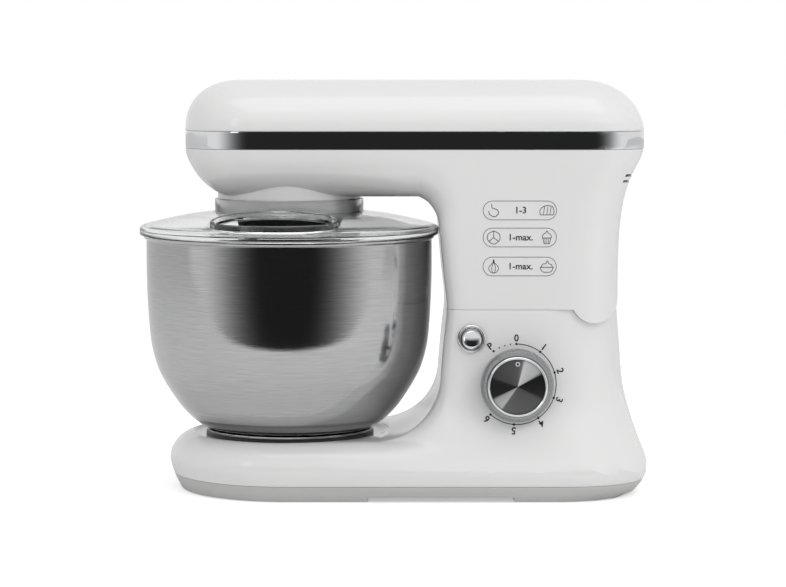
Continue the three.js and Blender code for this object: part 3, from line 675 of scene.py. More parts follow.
@dataclass(frozen=True)
class Finishes:
    """Every finish of the machine."""

    white: Finish = Finish("gloss white plastic", (0.785, 0.785, 0.783), (0.76, 0.76, 0.757), 0.13, 0.05,
                           fine_scale=420, bump=0.035, coat=0.35)
    tray: Finish = Finish("satin grey plastic", (0.55, 0.55, 0.545), (0.50, 0.50, 0.495), 0.42, 0.1,
                          fine_scale=1400, bump=0.12)
    chrome: Finish = Finish("polished chrome", (0.80, 0.81, 0.82), (0.74, 0.75, 0.76), 0.06, 0.05, 1.0,
                            bump=0.01)
    bowl_steel: Finish = BrushedFinish("brushed bowl steel", (0.56, 0.56, 0.565), (0.44, 0.44, 0.445), 0.085,
                                       0.04, 1.0, fine_scale=2600, bump=0.07, grain=Grain.LEVEL)
    steel: Finish = Finish("bright steel", (0.60, 0.61, 0.62), (0.48, 0.49, 0.50), 0.28, 0.12, 1.0,
                           fine_scale=1500, bump=0.06)
    cast: Finish = Finish("cast aluminium", (0.62, 0.63, 0.64), (0.50, 0.51, 0.52), 0.46, 0.14, 1.0,
                          fine_scale=700, bump=0.3)
    black: Finish = Finish("black plastic", (0.035, 0.035, 0.037), (0.02, 0.02, 0.021), 0.42, 0.12,
                           fine_scale=1600, bump=0.2)
    rubber: Finish = Finish("black rubber", (0.045, 0.045, 0.045), (0.02, 0.02, 0.02), 0.8, 0.1,
                            fine_scale=1200, bump=0.35)
    bronze: Finish = Finish("sintered bronze", (0.62, 0.45, 0.20), (0.48, 0.33, 0.14), 0.4, 0.1, 1.0,
                            fine_scale=1800, bump=0.3)
    nylon: Finish = Finish("natural nylon", (0.82, 0.79, 0.70), (0.74, 0.70, 0.60), 0.45, 0.1,
                           fine_scale=900, bump=0.1)
    winding: Finish = Finish("lacquered winding", (0.50, 0.22, 0.08), (0.26, 0.11, 0.05), 0.35, 0.15, 0.6,
                             fine_scale=1100, bump=0.4, grain=Grain.LEVEL)
    board: Finish = Finish("circuit board", (0.06, 0.26, 0.13), (0.03, 0.15, 0.07), 0.35, 0.15,
                           fine_scale=500, bump=0.1)
    skirt: Finish = Finish("satin silver", (0.42, 0.425, 0.43), (0.33, 0.335, 0.34), 0.3, 0.08, 1.0,
                           fine_scale=1500, bump=0.1)
    clear: Finish = Finish("clear plastic", (0.995, 1.0, 1.0), (0.985, 0.99, 0.99), 0.03, 0.02,
                           bump=0.01, transmission=1.0, ior=1.45)
    dark_print: Finish = Finish("grey print", (0.030, 0.030, 0.032), (0.018, 0.018, 0.02), 0.6, 0.1,
                                bump=0.05, specular=0.2)
    pale_print: Finish = Finish("pale print", (0.72, 0.72, 0.72), (0.64, 0.64, 0.64), 0.5, 0.1, bump=0.05)


# ---- the outer form ---------------------------------------------------------------------------------------

@dataclass
class HeadForm:
    """The shape of the head and the upper half of the column, in millimetres."""

    nose_x: float = -162.5
    nose_r: float = 63.0
    rear_x: float = 195.0
    top: float = 320.0
    bottom: float = 230.0
    half: float = 65.0
    band_low: float = 266.7
    band_high: float = 280.7
    top_across: float = 45.0
    top_fullness: float = 2.3
    chin_across: float = 37.5
    arm_end: float = 20.0
    column_top: float = 209.5
    corner: float = 13.0
    rear_round: float = 50.0
    crown_across: float = 48.0
    crown_up: float = 38.0
    front: list[Point] = field(default_factory=lambda: smooth_path(
        [(35.5, 209.5), (37, 190), (39.2, 167), (41.3, 145), (38.8, 119.6), (37.4, 104), (36.5, 89)]))
    rear: list[Point] = field(default_factory=lambda: smooth_path(
        [(195, 266.7), (192.8, 260), (187.2, 248.8), (182.3, 237), (179.2, 225), (177, 209.5), (175.8, 190),
         (175.6, 146), (178, 116)]))

    def high(self, x: float) -> float:
        """The head's height at a place along it.

        Args:
            x: the place along the machine.

        Returns:
            The top's height there.
        """
        up = self.top - self.band_high
        if x < self.nose_x + self.top_across:
            before = min((self.nose_x + self.top_across - x) / self.top_across, 1.0)
            return self.band_high + up * (1 - before ** self.top_fullness) ** (1 / self.top_fullness)
        crown = self.rear_x - self.crown_across
        if x > crown:
            base = self.top - self.crown_up
            return base + self.crown_up * math.sqrt(max(1 - ((x - crown) / self.crown_across) ** 2, 0))
        return self.top

    def low(self, x: float) -> float:
        """The height of the arm's underside at a place along it.

        Args:
            x: the place along the machine.

        Returns:
            The underside's height there.
        """
        up = self.band_low - self.bottom
        before = max(self.nose_x + self.chin_across - x, 0) / self.chin_across
        return self.band_low - up * (1 - min(before, 1) ** 1.65) ** (1 / 1.65)

    def rear_at(self, z: float) -> float:
        """How far back the outline reaches at a height.

        Args:
            z: the height.

        Returns:
            The place of the rear outline there.
        """
        if z > self.top - self.crown_up:
            t = (z - self.top + self.crown_up) / self.crown_up
            return self.rear_x - self.crown_across * (1 - math.sqrt(max(1 - t * t, 0)))
        if z > self.band_low:
            return self.rear_x
        return x_at(self.rear, z)

    def half_at(self, x: float, z: float) -> float:
        """Half the body's width at a point of the side view, without its lower and front edges.

        Args:
            x: the place along the machine.
            z: the height.

        Returns:
            The half-width there.
        """
        across = self.half
        centre = self.nose_x + self.nose_r
        if x < centre:
            across *= (1 - min((centre - x) / self.nose_r, 1) ** 2.1) ** (1 / 2.1)
        crown = max(self.high(x) - self.band_high, 0.05)
        across *= swell((self.high(x) - z) / crown, 2.2)
        behind = swell((self.rear_at(z) - x) / self.rear_round, 2.2)
        return across * (1 - self.rear_round / self.half * (1 - behind))

    def stations(self) -> list[tuple[Point, Point, float, float]]:
        """Every section: its inner and outer point, and its edge's depth and width.

        Returns:
            The sections, from the nose along the arm and down the column.
        """
        centre = self.nose_x + self.nose_r
        rows = []
        for i in range(25):
            x = centre - self.nose_r * math.cos(i / 24 * math.pi / 2) * ROUND_START
            rows.append(((x, self.low(x)), (x, self.high(x)), min(30.0, self.band_low - self.low(x)), 30.0))
        for i in range(1, 9):
            x = mix(centre, self.arm_end, i / 8)
            rows.append(((x, self.low(x)), (x, self.high(x)), 30.0, 30.0))
        crown = self.rear_x - self.crown_across
        back = [(self.arm_end, self.top), (crown, self.top)]
        for i in range(1, 17):
            angle = math.pi / 2 * (1 - i / 16)
            back.append((crown + self.crown_across * math.cos(angle),
                         self.top - self.crown_up * (1 - math.sin(angle))))
        back += [p for p in self.rear if p[1] > self.column_top]
        back.append((x_at(self.rear, self.column_top), self.column_top))
        throat = smooth_path([(self.arm_end, self.bottom), (27.2, 225.6), (32.6, 218),
                              (35.5, self.column_top)])
        steps = 44
        outer, inner = along(back, steps), along(throat, steps)
        for i in range(1, steps):
            edge = mix(30, self.corner, i / steps)
            rows.append((inner[i], outer[i], edge, edge))
        for i in range(13):
            z = mix(self.column_top, 128, i / 12)
            rows.append(((x_at(self.front, z), z), (x_at(self.rear, z), z), self.corner, self.corner))
        return rows

    def rows(self) -> list[list[Vector]]:
        """The points of every section, closed round the body.

        Returns:
            One row for each section.
        """
        result = []
        for inner, outer, deep, wide in self.stations():
            start, end = Vector(inner), Vector(outer)
            side = []
            for t in soft_spaced(36):
                at = start.lerp(end, t)
                y = self.half_at(at.x, at.y)
                edge = 1 - swell((at - start).length / max(deep, 0.01))
                y -= min(wide, y) * edge
                side.append(Vector((at.x, max(y, 0.0), at.y)))
            result.append(side + [Vector((p.x, -p.y, p.z)) for p in reversed(side)])
        return result


@dataclass
class BaseForm:
    """The shape of the base and the lower half of the column, in millimetres."""

    head: HeadForm
    front_x: float = -176.0
    half: float = 94.0
    platform: float = 44.5
    widest: float = 24.5
    bowl_x: float = BOWL_X
    cove_r: float = 49.5
    cove_top: float = 94.0
    edge_across: float = 20.0
    bottom_taper: float = 9.0
    taper_power: float = 1.6
    rear_round: float = 65.0
    rear: list[Point] = field(default_factory=lambda: smooth_path(
        [(175.6, 160), (175.6, 146), (178, 116), (180.5, 84), (184.2, 67), (189, 50.5), (194.6, 35),
         (198.0, 24), (196.0, 12), (187, 0)]))
    flare: list[Point] = field(default_factory=lambda: smooth_path(
        [(65, 150), (65.5, 120), (67, 95), (70, 72), (77, 52), (86.5, 35), (94, 24.5)]))

    def edge_at(self, z: float) -> float:
        """How far the slab's edge stands in from its widest line.

        Args:
            z: the height.

        Returns:
            The inset there.
        """
        if z < self.widest:
            return ((self.widest - z) / self.widest) ** self.taper_power * self.bottom_taper
        up = self.platform - self.widest
        return self.edge_across * (1 - (1 - min((z - self.widest) / up, 1) ** 1.8) ** (1 / 1.8))

    def slab_half(self, x: float, z: float) -> float:
        """Half the slab's width, round at its front end.

        Args:
            x: the place along the machine.
            z: the height.

        Returns:
            The half-width there.
        """
        edge = self.edge_at(z)
        radius = self.bowl_x - self.front_x - edge
        if x >= self.bowl_x:
            return self.half - edge
        return (self.half - edge) * math.sqrt(max(1 - ((self.bowl_x - x) / radius) ** 2, 0))

    def column_half(self, z: float) -> float:
        """Half the flaring column's width at a height."""
        if z < self.widest:
            return self.half - self.edge_at(z)
        return x_at(self.flare, z)

    def behind(self, x: float, z: float, half: float) -> float:
        """What the rounding of the rear leaves of a half-width."""
        share = self.rear_round / half
        return 1 - share * (1 - swell((x_at(self.rear, z) - x) / self.rear_round, 2.2))

    def half_at(self, x: float, z: float, into_column: float, depth: float, edge: float) -> float:
        """Half the width at a point, between the slab's shape and the column's.

        Args:
            x: the place along the machine.
            z: the height.
            into_column: 0 on the slab, 1 on the column.
            depth: how deep the point lies below the section's inner end.
            edge: the rounding of the column's front corners.

        Returns:
            The half-width in millimetres.
        """
        slab = self.slab_half(x, z)
        column = self.column_half(z) - edge * (1 - swell(depth / edge))
        half = mix(slab, column, into_column)
        return half * self.behind(x, z, max(half, 1.0))

    def slab_ends(self, x: float) -> tuple[float, float]:
        """The slab's top and bottom at a place near its round front end.

        Args:
            x: the place along the machine.

        Returns:
            The height of the top and that of the bottom.
        """
        reach = self.bowl_x - x
        radius = self.bowl_x - self.front_x
        top, bottom = self.platform, 0.0
        inner = radius - self.edge_across
        if reach > inner:
            share = min((reach - inner) / self.edge_across, 1)
            top = self.widest + (self.platform - self.widest) * (1 - share ** 1.8) ** (1 / 1.8)
        if reach > radius - self.bottom_taper:
            left = min((radius - reach) / self.bottom_taper, 1)
            bottom = self.widest * (1 - left ** (1 / self.taper_power))
        return top, bottom

    def far_end(self, start: Vector, direction: Vector) -> Vector:
        """Where a ray from the cove's centre leaves the body.

        Args:
            start: the ray's start.
            direction: where it goes.

        Returns:
            The last place inside the body.
        """
        near, far = 0.0, 400.0
        for _ in range(40):
            middle = (near + far) / 2
            at = start + direction * middle
            inside = at.y > 0 and at.x < x_at(self.rear, at.y)
            near, far = (middle, far) if inside else (near, middle)
        return start + direction * near

    def stations(self) -> list[tuple[Vector, Vector, float, float]]:
        """Every section: its inner and outer point, how far into the column, and its edge.

        Returns:
            The sections, from the front along the slab and up the column.
        """
        rows = []
        radius = self.bowl_x - self.front_x
        for i in range(29):
            x = self.bowl_x - radius * math.cos(i / 28 * math.pi / 2) * ROUND_START
            top, bottom = self.slab_ends(x)
            rows.append((Vector((x, top)), Vector((x, bottom)), 0.0, 20.0))
        centre = Vector((36.5 - self.cove_r, self.cove_top))
        for i in range(1, 13):
            x = mix(self.bowl_x, centre.x, i / 12)
            rows.append((Vector((x, self.platform)), Vector((x, 0)), 0.3 * smoothstep((i - 4) / 8), 20.0))
        for i in range(1, 41):
            angle = -math.pi / 2 * (1 - i / 40)
            direction = Vector((math.cos(angle), math.sin(angle)))
            start = centre + direction * self.cove_r
            into = mix(0.3, 1, smoothstep(i / 26))
            rows.append((start, self.far_end(centre, direction), into, mix(20, self.head.corner, i / 40)))
        for i in range(1, 13):
            z = mix(self.cove_top, 150, i / 12)
            inner = Vector((x_at(self.head.front, z), z))
            rows.append((inner, Vector((x_at(self.rear, z), z)), 1.0, self.head.corner))
        return rows

    def rows(self) -> list[list[Vector]]:
        """The points of every section, closed round the body.

        Returns:
            One row for each section.
        """
        result = []
        for inner, outer, into, edge in self.stations():
            side = []
            for t in soft_spaced(40):
                at = inner.lerp(outer, t)
                y = self.half_at(at.x, at.y, into, (at - inner).length, edge)
                side.append(Vector((at.x, max(y, 0.0), at.y)))
            result.append(side + [Vector((p.x, -p.y, p.z)) for p in reversed(side)])
        return result


# ---- base -------------------------------------------------------------------------------------------------

@dataclass
class Base:
    """The base shell, its tray, feet and seat."""

    form: BaseForm
    finishes: Finishes
    pivot: Vector
    tray_top: float = 12.5
    tray_bottom: float = 0.6
    arch_from: float = -19.0
    arch_to: float = 92.0
    arch_high: float = 4.0
    gap: float = 0.3
    split: float = 145.0
    slot_r: float = 58.0
    slot_step: float = 5.7

    def build(self) -> None:
        """Builds every piece of the base."""
        rows = self.form.rows()
        self.shell(Bench.skin("base_cover", rows, caps=True))
        self.tray(Bench.skin("base_pan", rows, caps=True))
        self.feet()
        self.seat()
        self.gland()

    def shell(self, piece: bpy.types.Object) -> None:
        """The white cover with its dish, hinge trough and latch slot.

        Args:
            piece: the whole form of the base, to be cut to shape.
        """
        Bench.slice(piece, self.tray_top + self.gap, keep_above=True, fill=True)
        Bench.slice(piece, self.split - self.gap, keep_above=False, fill=True)
        dish = Bench.turn("dish", [(0, 42), (70, 42), (72.5, 42.3), (74.5, 43), (76.2, 44.1), (77.4, 44.45),
                                   (78.4, 44.6), (78.4, 80), (0, 80)],
                          Vector((self.form.bowl_x, 0, 0)), 160)
        Bench.combine(piece, dish)
        trough = Bench.rod("trough", (self.pivot.x, -120, self.pivot.z), (self.pivot.x, 120, self.pivot.z),
                           BARREL_R + self.gap, 160)
        Bench.combine(piece, trough)
        Bench.combine(piece, Bench.block("latch slot", (48, -4.2, 118), (68, 4.2, 160)))
        for side in (-1, 1):
            low, high = sorted((side * 15.5, side * 20.5))
            ear = Bench.block("ear slot", (self.pivot.x - 9, low, 116), (self.pivot.x + 9, high, 150))
            Bench.combine(piece, ear)
        Bench.combine(piece, Bench.rod("button hole", (60, -80, 123), (60, -40, 123), 8.4))
        Bench.soften(piece, 0.5, 2, 50)
        Bench.polish(piece)
        fit_out(piece, self.finishes.white.make(), "base", "white_gloss", "base_shell")

    def tray(self, piece: bpy.types.Object) -> None:
        """The grey pan under the cover, arched between its pads.

        Args:
            piece: the whole form of the base, to be cut to shape.
        """
        Bench.slice(piece, self.tray_top, keep_above=False, fill=True)
        Bench.slice(piece, self.tray_bottom, keep_above=True, fill=True)
        arch = Bench.block("arch", (self.arch_from, -CUT_REACH, -5),
                           (self.arch_to, CUT_REACH, self.arch_high))
        Bench.combine(piece, arch)
        for i in range(1, 5):
            at = middle_of(f"foot_{i}")
            Bench.combine(piece, Bench.rod("foot recess", (at.x, at.y, -2), (at.x, at.y, 3.3), 11.4))
        for i in range(1, 5):
            at = middle_of(f"tray_screw_{i}")
            Bench.combine(piece, Bench.rod("screw recess", (at.x, at.y, -2), (at.x, at.y, 6), 4.5, 32))
        for y in (-36, -18, 0, 18, 36):
            Bench.combine(piece, Bench.block("air slot", (20, y - 2, 0), (60, y + 2, 9)))
        Bench.soften(piece, 0.5, 2, 50)
        Bench.polish(piece)
        fit_out(piece, self.finishes.tray.make(), "base", "tray_grey", "base_tray")

    def feet(self) -> None:
        """Four soft feet with a grooved underside."""
        for i in range(1, 5):
            name = f"foot_{i}"
            middle = middle_of(name)
            centre = Vector((middle.x, middle.y, 0))
            profile = [(0, 0.6), (4, 0.6), (4.6, 0), (6, 0), (6.5, 0.7), (7.2, 0.7), (7.7, 0), (9, 0),
                       (10.2, 0.4), (10.9, 1.2), (11, 2.4), (10.6, 3), (0, 3)]
            piece = Bench.turn(f"rubber_foot_{i}", profile, centre, 64)
            Bench.polish(piece, 40)
            fit_out(piece, self.finishes.rubber.make(), "base", "rubber", name)

    def seat(self) -> None:
        """The black bayonet ring that the bowl locks into."""
        centre = Vector((self.form.bowl_x, 0, 0))
        profile = [(49, 42.3), (66, 42.3), (66, 44.2), (65.2, 45), (62.6, 45), (62, 44.4), (55, 44.4),
                   (54, 45), (49.6, 45), (49, 44.4)]
        piece = Bench.turn("bayonet_ring", profile, centre, 144)
        for i in range(3):
            for k in range(9):
                angle = i * 2 * math.pi / 3 + math.radians(-1 + self.slot_step * k)
                at = centre + Vector((self.slot_r * math.cos(angle), self.slot_r * math.sin(angle), 0))
                Bench.combine(piece, Bench.rod("slot", (at.x, at.y, 41), (at.x, at.y, 47), 3.0, 20))
        Bench.polish(piece)
        fit_out(piece, self.finishes.black.make(), "base", "black_plastic", "bowl_seat")

    def gland(self) -> None:
        """The round gland at the back, from which a supply cord would come."""
        low, high = (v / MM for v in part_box("cord_gland"))
        middle = (low + high) / 2
        profile = [(0, 0), (10, 0), (10, 2.5), (8, 2.9), (8, 13), (7.4, 14), (5, 14.2), (4.6, 13.6), (4.2, 9),
                   (0, 9)]
        rows = [[Vector((low.x + h, middle.y + r * math.cos(a), middle.z + r * math.sin(a)))
                 for a in (2 * math.pi * i / 48 for i in range(48))] for r, h in profile]
        piece = Bench.skin("supply_gland", rows)
        Bench.polish(piece)
        fit_out(piece, self.finishes.black.make(), "base", "black_plastic", "cord_gland")


# ---- head -------------------------------------------------------------------------------------------------

@dataclass
class Head:
    """The tilting head: top cover, trim band, lower shell, hub and lid."""

    form: HeadForm
    finishes: Finishes
    pivot: Vector
    bowl_x: float = BOWL_X
    wall: float = 3.5
    gap: float = 0.3
    split: float = 145.0
    hub_r: float = 55.9
    lid_r: float = 117.3
    pour_r: float = 89.5
    pour_long: float = 46.0
    pour_wide: float = 22.5
    pour_angle: float = -95.0
    pour_turn: float = -5.0
    pour_facets: int = 96

    def build(self) -> None:
        """Builds every piece of the head."""
        rows = self.form.rows()
        self.top_cover(Bench.skin("head_cover", rows, caps=True))
        self.band(Bench.skin("chrome_band", rows, caps=True))
        self.lower_shell(Bench.skin("head_body", rows, caps=True))
        self.hub()
        self.lid()

    def top_cover(self, piece: bpy.types.Object) -> None:
        """The domed cover above the band.

        Args:
            piece: the whole form of the head, to be cut to shape.
        """
        Bench.slice(piece, self.form.band_high, keep_above=True)
        Bench.thicken(piece, self.wall)
        Bench.soften(piece, 0.4, 2, 60)
        Bench.polish(piece)
        fit_out(piece, self.finishes.white.make(), "head", "white_gloss", "head_top_cover")

    def band(self, piece: bpy.types.Object) -> None:
        """The chrome band all round.

        Args:
            piece: the whole form of the head, to be cut to shape.
        """
        Bench.slice(piece, self.form.band_high - self.gap, keep_above=False)
        Bench.slice(piece, self.form.band_low + self.gap, keep_above=True)
        Bench.thicken(piece, self.wall)
        Bench.soften(piece, 0.4, 2, 60)
        Bench.polish(piece)
        fit_out(piece, self.finishes.chrome.make(), "head", "chrome", "trim_band")

    def lower_shell(self, piece: bpy.types.Object) -> None:
        """The arm's underside and the upper column, ending in the hinge barrel.

        Args:
            piece: the whole form of the head, to be cut to shape.
        """
        relief = Bench.block("relief", (-300, -CUT_REACH, 60), (300, CUT_REACH, self.split))
        behind = Bench.block("behind", (self.pivot.x, -CUT_REACH, 60), (300, CUT_REACH, self.pivot.z + 3))
        Bench.combine(relief, behind, "UNION")
        barrel = Bench.rod("barrel", (self.pivot.x, -160, self.pivot.z), (self.pivot.x, 160, self.pivot.z),
                           BARREL_R, 160)
        Bench.combine(relief, barrel)
        Bench.combine(piece, relief)
        Bench.slice(piece, self.form.band_low, keep_above=False)
        Bench.open_up(piece, lambda f: f.normal.z < -0.9 and abs(f.center.z - self.split * MM) < 2e-4)
        Bench.thicken(piece, self.wall)
        hub = Bench.rod("hub hole", (self.bowl_x, 0, 200), (self.bowl_x, 0, 262), self.hub_r + self.gap, 128)
        Bench.combine(piece, hub)
        for side in (-1, 1):
            for z in (241, 245.5):
                low, high = sorted((side * 14, side * 44))
                Bench.combine(piece, Bench.block("vent", (174, low, z), (192, high, z + 2)))
            well = Bench.rod("screw well", (3.6, side * 41, 215), (3.6, side * 41, 240), 3.4, 32)
            Bench.combine(piece, well)
        bracket = Bench.block("bracket slot", (self.pivot.x - 11, -22.5, 120),
                              (self.pivot.x + 17.8, 22.5, 150))
        Bench.combine(piece, bracket)
        Bench.polish(piece)
        fit_out(piece, self.finishes.white.make(), "head", "white_gloss", "head_lower_shell")

    def hub(self) -> None:
        """The white collar round the drive."""
        profile = [(46, 213.6), (46.6, 213), (55.2, 213), (55.9, 213.8), (55.9, 240.6), (51.4, 240.6),
                   (51.4, 221.5), (46, 221.5)]
        piece = Bench.turn("drive_collar", profile, Vector((self.bowl_x, 0, 0)), 144)
        Bench.polish(piece)
        fit_out(piece, self.finishes.white.make(), "head", "white_gloss", "hub_collar")

    def cone_height(self, radius: float) -> float:
        """The lid's outer height at a radius.

        Args:
            radius: the distance from the axis.

        Returns:
            The height there.
        """
        line = [(58.3, 217.0), (84.0, 214.0), (100.0, 210.6), (114.6, 207.0)]
        for (r0, z0), (r1, z1) in zip(line, line[1:]):
            if radius <= r1 or r1 == line[-1][0]:
                return mix(z0, z1, (radius - r0) / (r1 - r0))
        return line[-1][1]

    def lid(self) -> None:
        """The clear splash lid with its collar and raised pour opening."""
        cone = smooth_path([(59.5, 217.2), (72, 215.8), (84, 214), (100, 210.6), (113, 207.4)], 6)
        top = [(56.4, 227.2), (57, 227.6), (57.9, 227.6), (58.3, 227.2), (58.3, 218.4), (58.8, 217.5)]
        rim = [(115.4, 206.6), (116.8, 205.6), (self.lid_r, 204.4), (self.lid_r, 200), (116.9, 199.4),
               (115.8, 199.4), (115.4, 200), (115.4, 203), (114.4, 204.4)]
        under = [(r, z - 2.0) for r, z in reversed(cone)]
        profile = top + cone + rim + under + [(57, 215.4), (56.4, 216)]
        centre = Vector((self.bowl_x, 0, 0))
        piece = Bench.turn("splash_cover", profile, centre, 192)
        Bench.combine(piece, self.oval("pour hole", 0.3, 190, 235))
        Bench.combine(piece, self.spout(), "UNION")
        Bench.polish(piece, 35)
        fit_out(piece, self.finishes.clear.make(), "head", "clear_lid", "splash_lid")

    def oval_point(self, angle: float, grow: float) -> Vector:
        """A point of the pour opening's outline, grown by a margin.

        Args:
            angle: the turn about the opening's middle.
            grow: how far outside the outline.

        Returns:
            The point, at height 0.
        """
        lean = math.radians(self.pour_angle)
        middle = Vector((self.bowl_x + self.pour_r * math.cos(lean), self.pour_r * math.sin(lean), 0))
        long, wide = self.pour_long + grow, self.pour_wide + grow
        local = Vector((long * math.cos(angle), wide * math.sin(angle), 0))
        return middle + Matrix.Rotation(math.radians(self.pour_turn), 3, "Z") @ local

    def oval(self, name: str, grow: float, low: float, high: float) -> bpy.types.Object:
        """An upright oval plug with the pour opening's outline.

        Args:
            name: the plug's name.
            grow: how far outside the outline it reaches.
            low: its lower end's height.
            high: its upper end's height.

        Returns:
            The plug.
        """
        count = self.pour_facets
        rows = []
        for z in (low, high):
            rows.append([self.oval_point(2 * math.pi * i / count, grow) + Vector((0, 0, z))
                         for i in range(count)])
        return Bench.skin(name, rows, caps=True)

    def spout(self) -> bpy.types.Object:
        """The raised wall round the pour opening, which follows the cone.

        Returns:
            The wall, not yet joined to the lid.
        """
        section = [(0, -2.2), (2.5, -2.2), (2.5, 3.4), (2.1, 3.9), (1.3, 4.1), (0.4, 3.9), (0, 3.4)]
        rows = []
        for i in range(self.pour_facets):
            angle = 2 * math.pi * i / self.pour_facets
            row = []
            for grow, up in section:
                at = self.oval_point(angle, grow)
                radius = math.hypot(at.x - self.bowl_x, at.y)
                row.append(at + Vector((0, 0, self.cone_height(radius) + up)))
            rows.append(row)
        rows.append(rows[0])
        return Bench.skin("spout", rows)


# ---- controls ---------------------------------------------------------------------------------------------

@dataclass
class Controls:
    """The speed knob and the release button."""

    finishes: Finishes
    cap_lean: float = 0.3
    pointer_out: float = 17.3
    ridge_deep: float = 0.5
    ridge_low: float = 0.55
    knob: Vector = field(default_factory=lambda: Vector(KNOB_AT))
    button: Vector = field(default_factory=lambda: Vector((60.0, -66.2, 123.0)))
    flutes: int = 96

    def build(self) -> None:
        """Builds the knob's three pieces and the button's two."""
        self.skirt()
        self.ring()
        self.face()
        self.bezel()
        self.cap()

    def skirt(self) -> None:
        """The knurled silver skirt."""
        profile = [(0, 0), (27.2, 0), (27.8, 0.5), (27.8, 8.2), (27.4, 9.8), (26.6, 11.2), (25.4, 12.1),
                   (24.6, 12.4), (23.8, 12.5), (23.3, 12.1), (23.3, 10), (0, 10)]
        count = self.flutes * 4
        rows = []
        for radius, height in profile:
            row = []
            for i in range(count):
                angle = 2 * math.pi * i / count
                ridge = (i % 4) in (0, 1)
                r = radius - (0.0 if ridge or radius < 27 else self.ridge_deep)
                h = height - (0.0 if ridge or height < 9 or radius < 24.5 else self.ridge_low)
                row.append(self.knob + Vector((r * math.cos(angle), -h, r * math.sin(angle))))
            rows.append(row)
        piece = Bench.skin("knob_skirt", rows)
        shaft = Bench.rod("shaft", self.knob + Vector((0, 26, 0)), self.knob + Vector((0, -1, 0)), 3, 32)
        Bench.combine(piece, shaft, "UNION")
        Bench.polish(piece, 40)
        fit_out(piece, self.finishes.skirt.make(), "knob", "knob_silver", "knob_body")

    def ring(self) -> None:
        """The chrome ring round the knob's face."""
        profile = [(20.9, 10.3), (23, 10.3), (23, 14), (22.8, 14.7), (22.2, 15.3), (21.6, 15.5), (21.1, 15.2),
                   (20.9, 14.6)]
        piece = Bench.turn("knob_chrome", profile, self.knob, 144, "-Y")
        Bench.polish(piece, 40)
        fit_out(piece, self.finishes.chrome.make(), "knob", "chrome", "knob_ring")

    def face(self) -> None:
        """The spun face, its base colour a painted reflection fan, with its pointer dot."""
        profile = [(0, 10.3), (20.6, 10.3), (20.6, 13.9), (20.2, 14), (0, 14)]
        piece = Bench.turn("knob_plate", profile, self.knob, 144, "-Y")
        Bench.polish(piece, 40)
        # the face's base colour is a painted reflection: a fan of light and dark sectors
        spun = TurnedFinish("spun dial metal", (0.62, 0.62, 0.63), (0.5, 0.5, 0.51), 0.3, 0.05, 0.35,
                            bump=0.25, centre=tuple(self.knob * MM), fan=1.0)
        fit_out(piece, spun.make(), "knob", "dial_metal", "knob_face")
        dot = self.knob + Vector((0, 0, self.pointer_out))
        outline = [(0, 13.6), (1.7, 13.6), (1.7, 14.15), (1.5, 14.25), (0, 14.25)]
        mark = Bench.turn("knob_pointer", outline, dot, 32, "-Y")
        Bench.polish(mark, 40)
        fit_out(mark, self.finishes.pale_print.make(), "knob", "dial_metal")
        outline = [(0, 14.0), (0.95, 14.0), (0.95, 14.35), (0.8, 14.42), (0, 14.42)]
        core = Bench.turn("knob_pointer_core", outline, dot, 32, "-Y")
        Bench.polish(core, 40)
        fit_out(core, self.finishes.dark_print.make(), "knob", "black_plastic")

    def bezel(self) -> None:
        """The chrome bezel round the release button."""
        profile = [(8.5, 0), (11, 0), (11, 0.7), (10.7, 1.7), (10, 2.5), (9.3, 2.8), (8.8, 2.6), (8.5, 2.1)]
        piece = Bench.turn("button_bezel", profile, self.button, 96, "-Y")
        Bench.polish(piece, 50)
        fit_out(piece, self.finishes.chrome.make(), "base", "chrome", "release_bezel")

    def cap(self) -> None:
        """The domed chrome button on its stem, its face leaning back at the top."""
        dome = [(8 * math.cos(a), 1 + 3.2 * math.sin(a)) for a in (math.pi / 2 * i / 10 for i in range(10))]
        profile = [(0, -21), (3, -21), (3, -3), (7.6, -3), (8, -2.6), *dome, (0, 4.2)]
        piece = Bench.turn("button_cap", profile, self.button, 96, "-Y")
        for vertex in piece.data.vertices:
            place = vertex.co / MM - self.button
            if place.y < 0:
                vertex.co.y += place.z * self.cap_lean * MM
        Bench.polish(piece, 40)
        fit_out(piece, self.finishes.chrome.make(), "release", "chrome", "release_button")


# ---- bowl -------------------------------------------------------------------------------------------------

@dataclass
class Bowl:
    """The steel bowl; its foot is the design's own solid, dressed with the inner pieces."""

    finishes: Finishes
    x: float = BOWL_X
    radius: float = 112.0
    top: float = 200.0
    wall: float = 1.2

    def build(self) -> None:
        """Builds the bowl with its rolled rim."""
        curve = smooth_path([(64, 47), (71, 51), (78, 56.5), (85.5, 64.5), (91.6, 73), (98.2, 83.5),
                             (104, 95.5), (108.6, 113), (110.8, 136), (self.radius, 165),
                             (self.radius, 194.6)], 6)
        curve += [(self.radius, 195.2), (self.radius + 0.1, 195.6)]
        bead_r = 2.1
        bead = [(self.radius - 0.1 + bead_r * math.sin(a), self.top - bead_r - bead_r * math.cos(a))
                for a in (math.pi * i / 12 for i in range(1, 12))]
        inner = [(r - self.wall, z + self.wall * 0.7) for r, z in reversed(curve)]
        profile = [(0, 47), (60, 47), *curve, *bead, (self.radius - self.wall, self.top - 0.2), *inner,
                   (0, 47 + self.wall)]
        piece = Bench.turn("mixing_bowl", profile, Vector((self.x, 0, 0)), 192)
        Bench.polish(piece, 35)
        fit_out(piece, self.finishes.bowl_steel.make(), "bowl", "bowl_steel", "bowl")


# ---- print on the body ------------------------------------------------------------------------------------

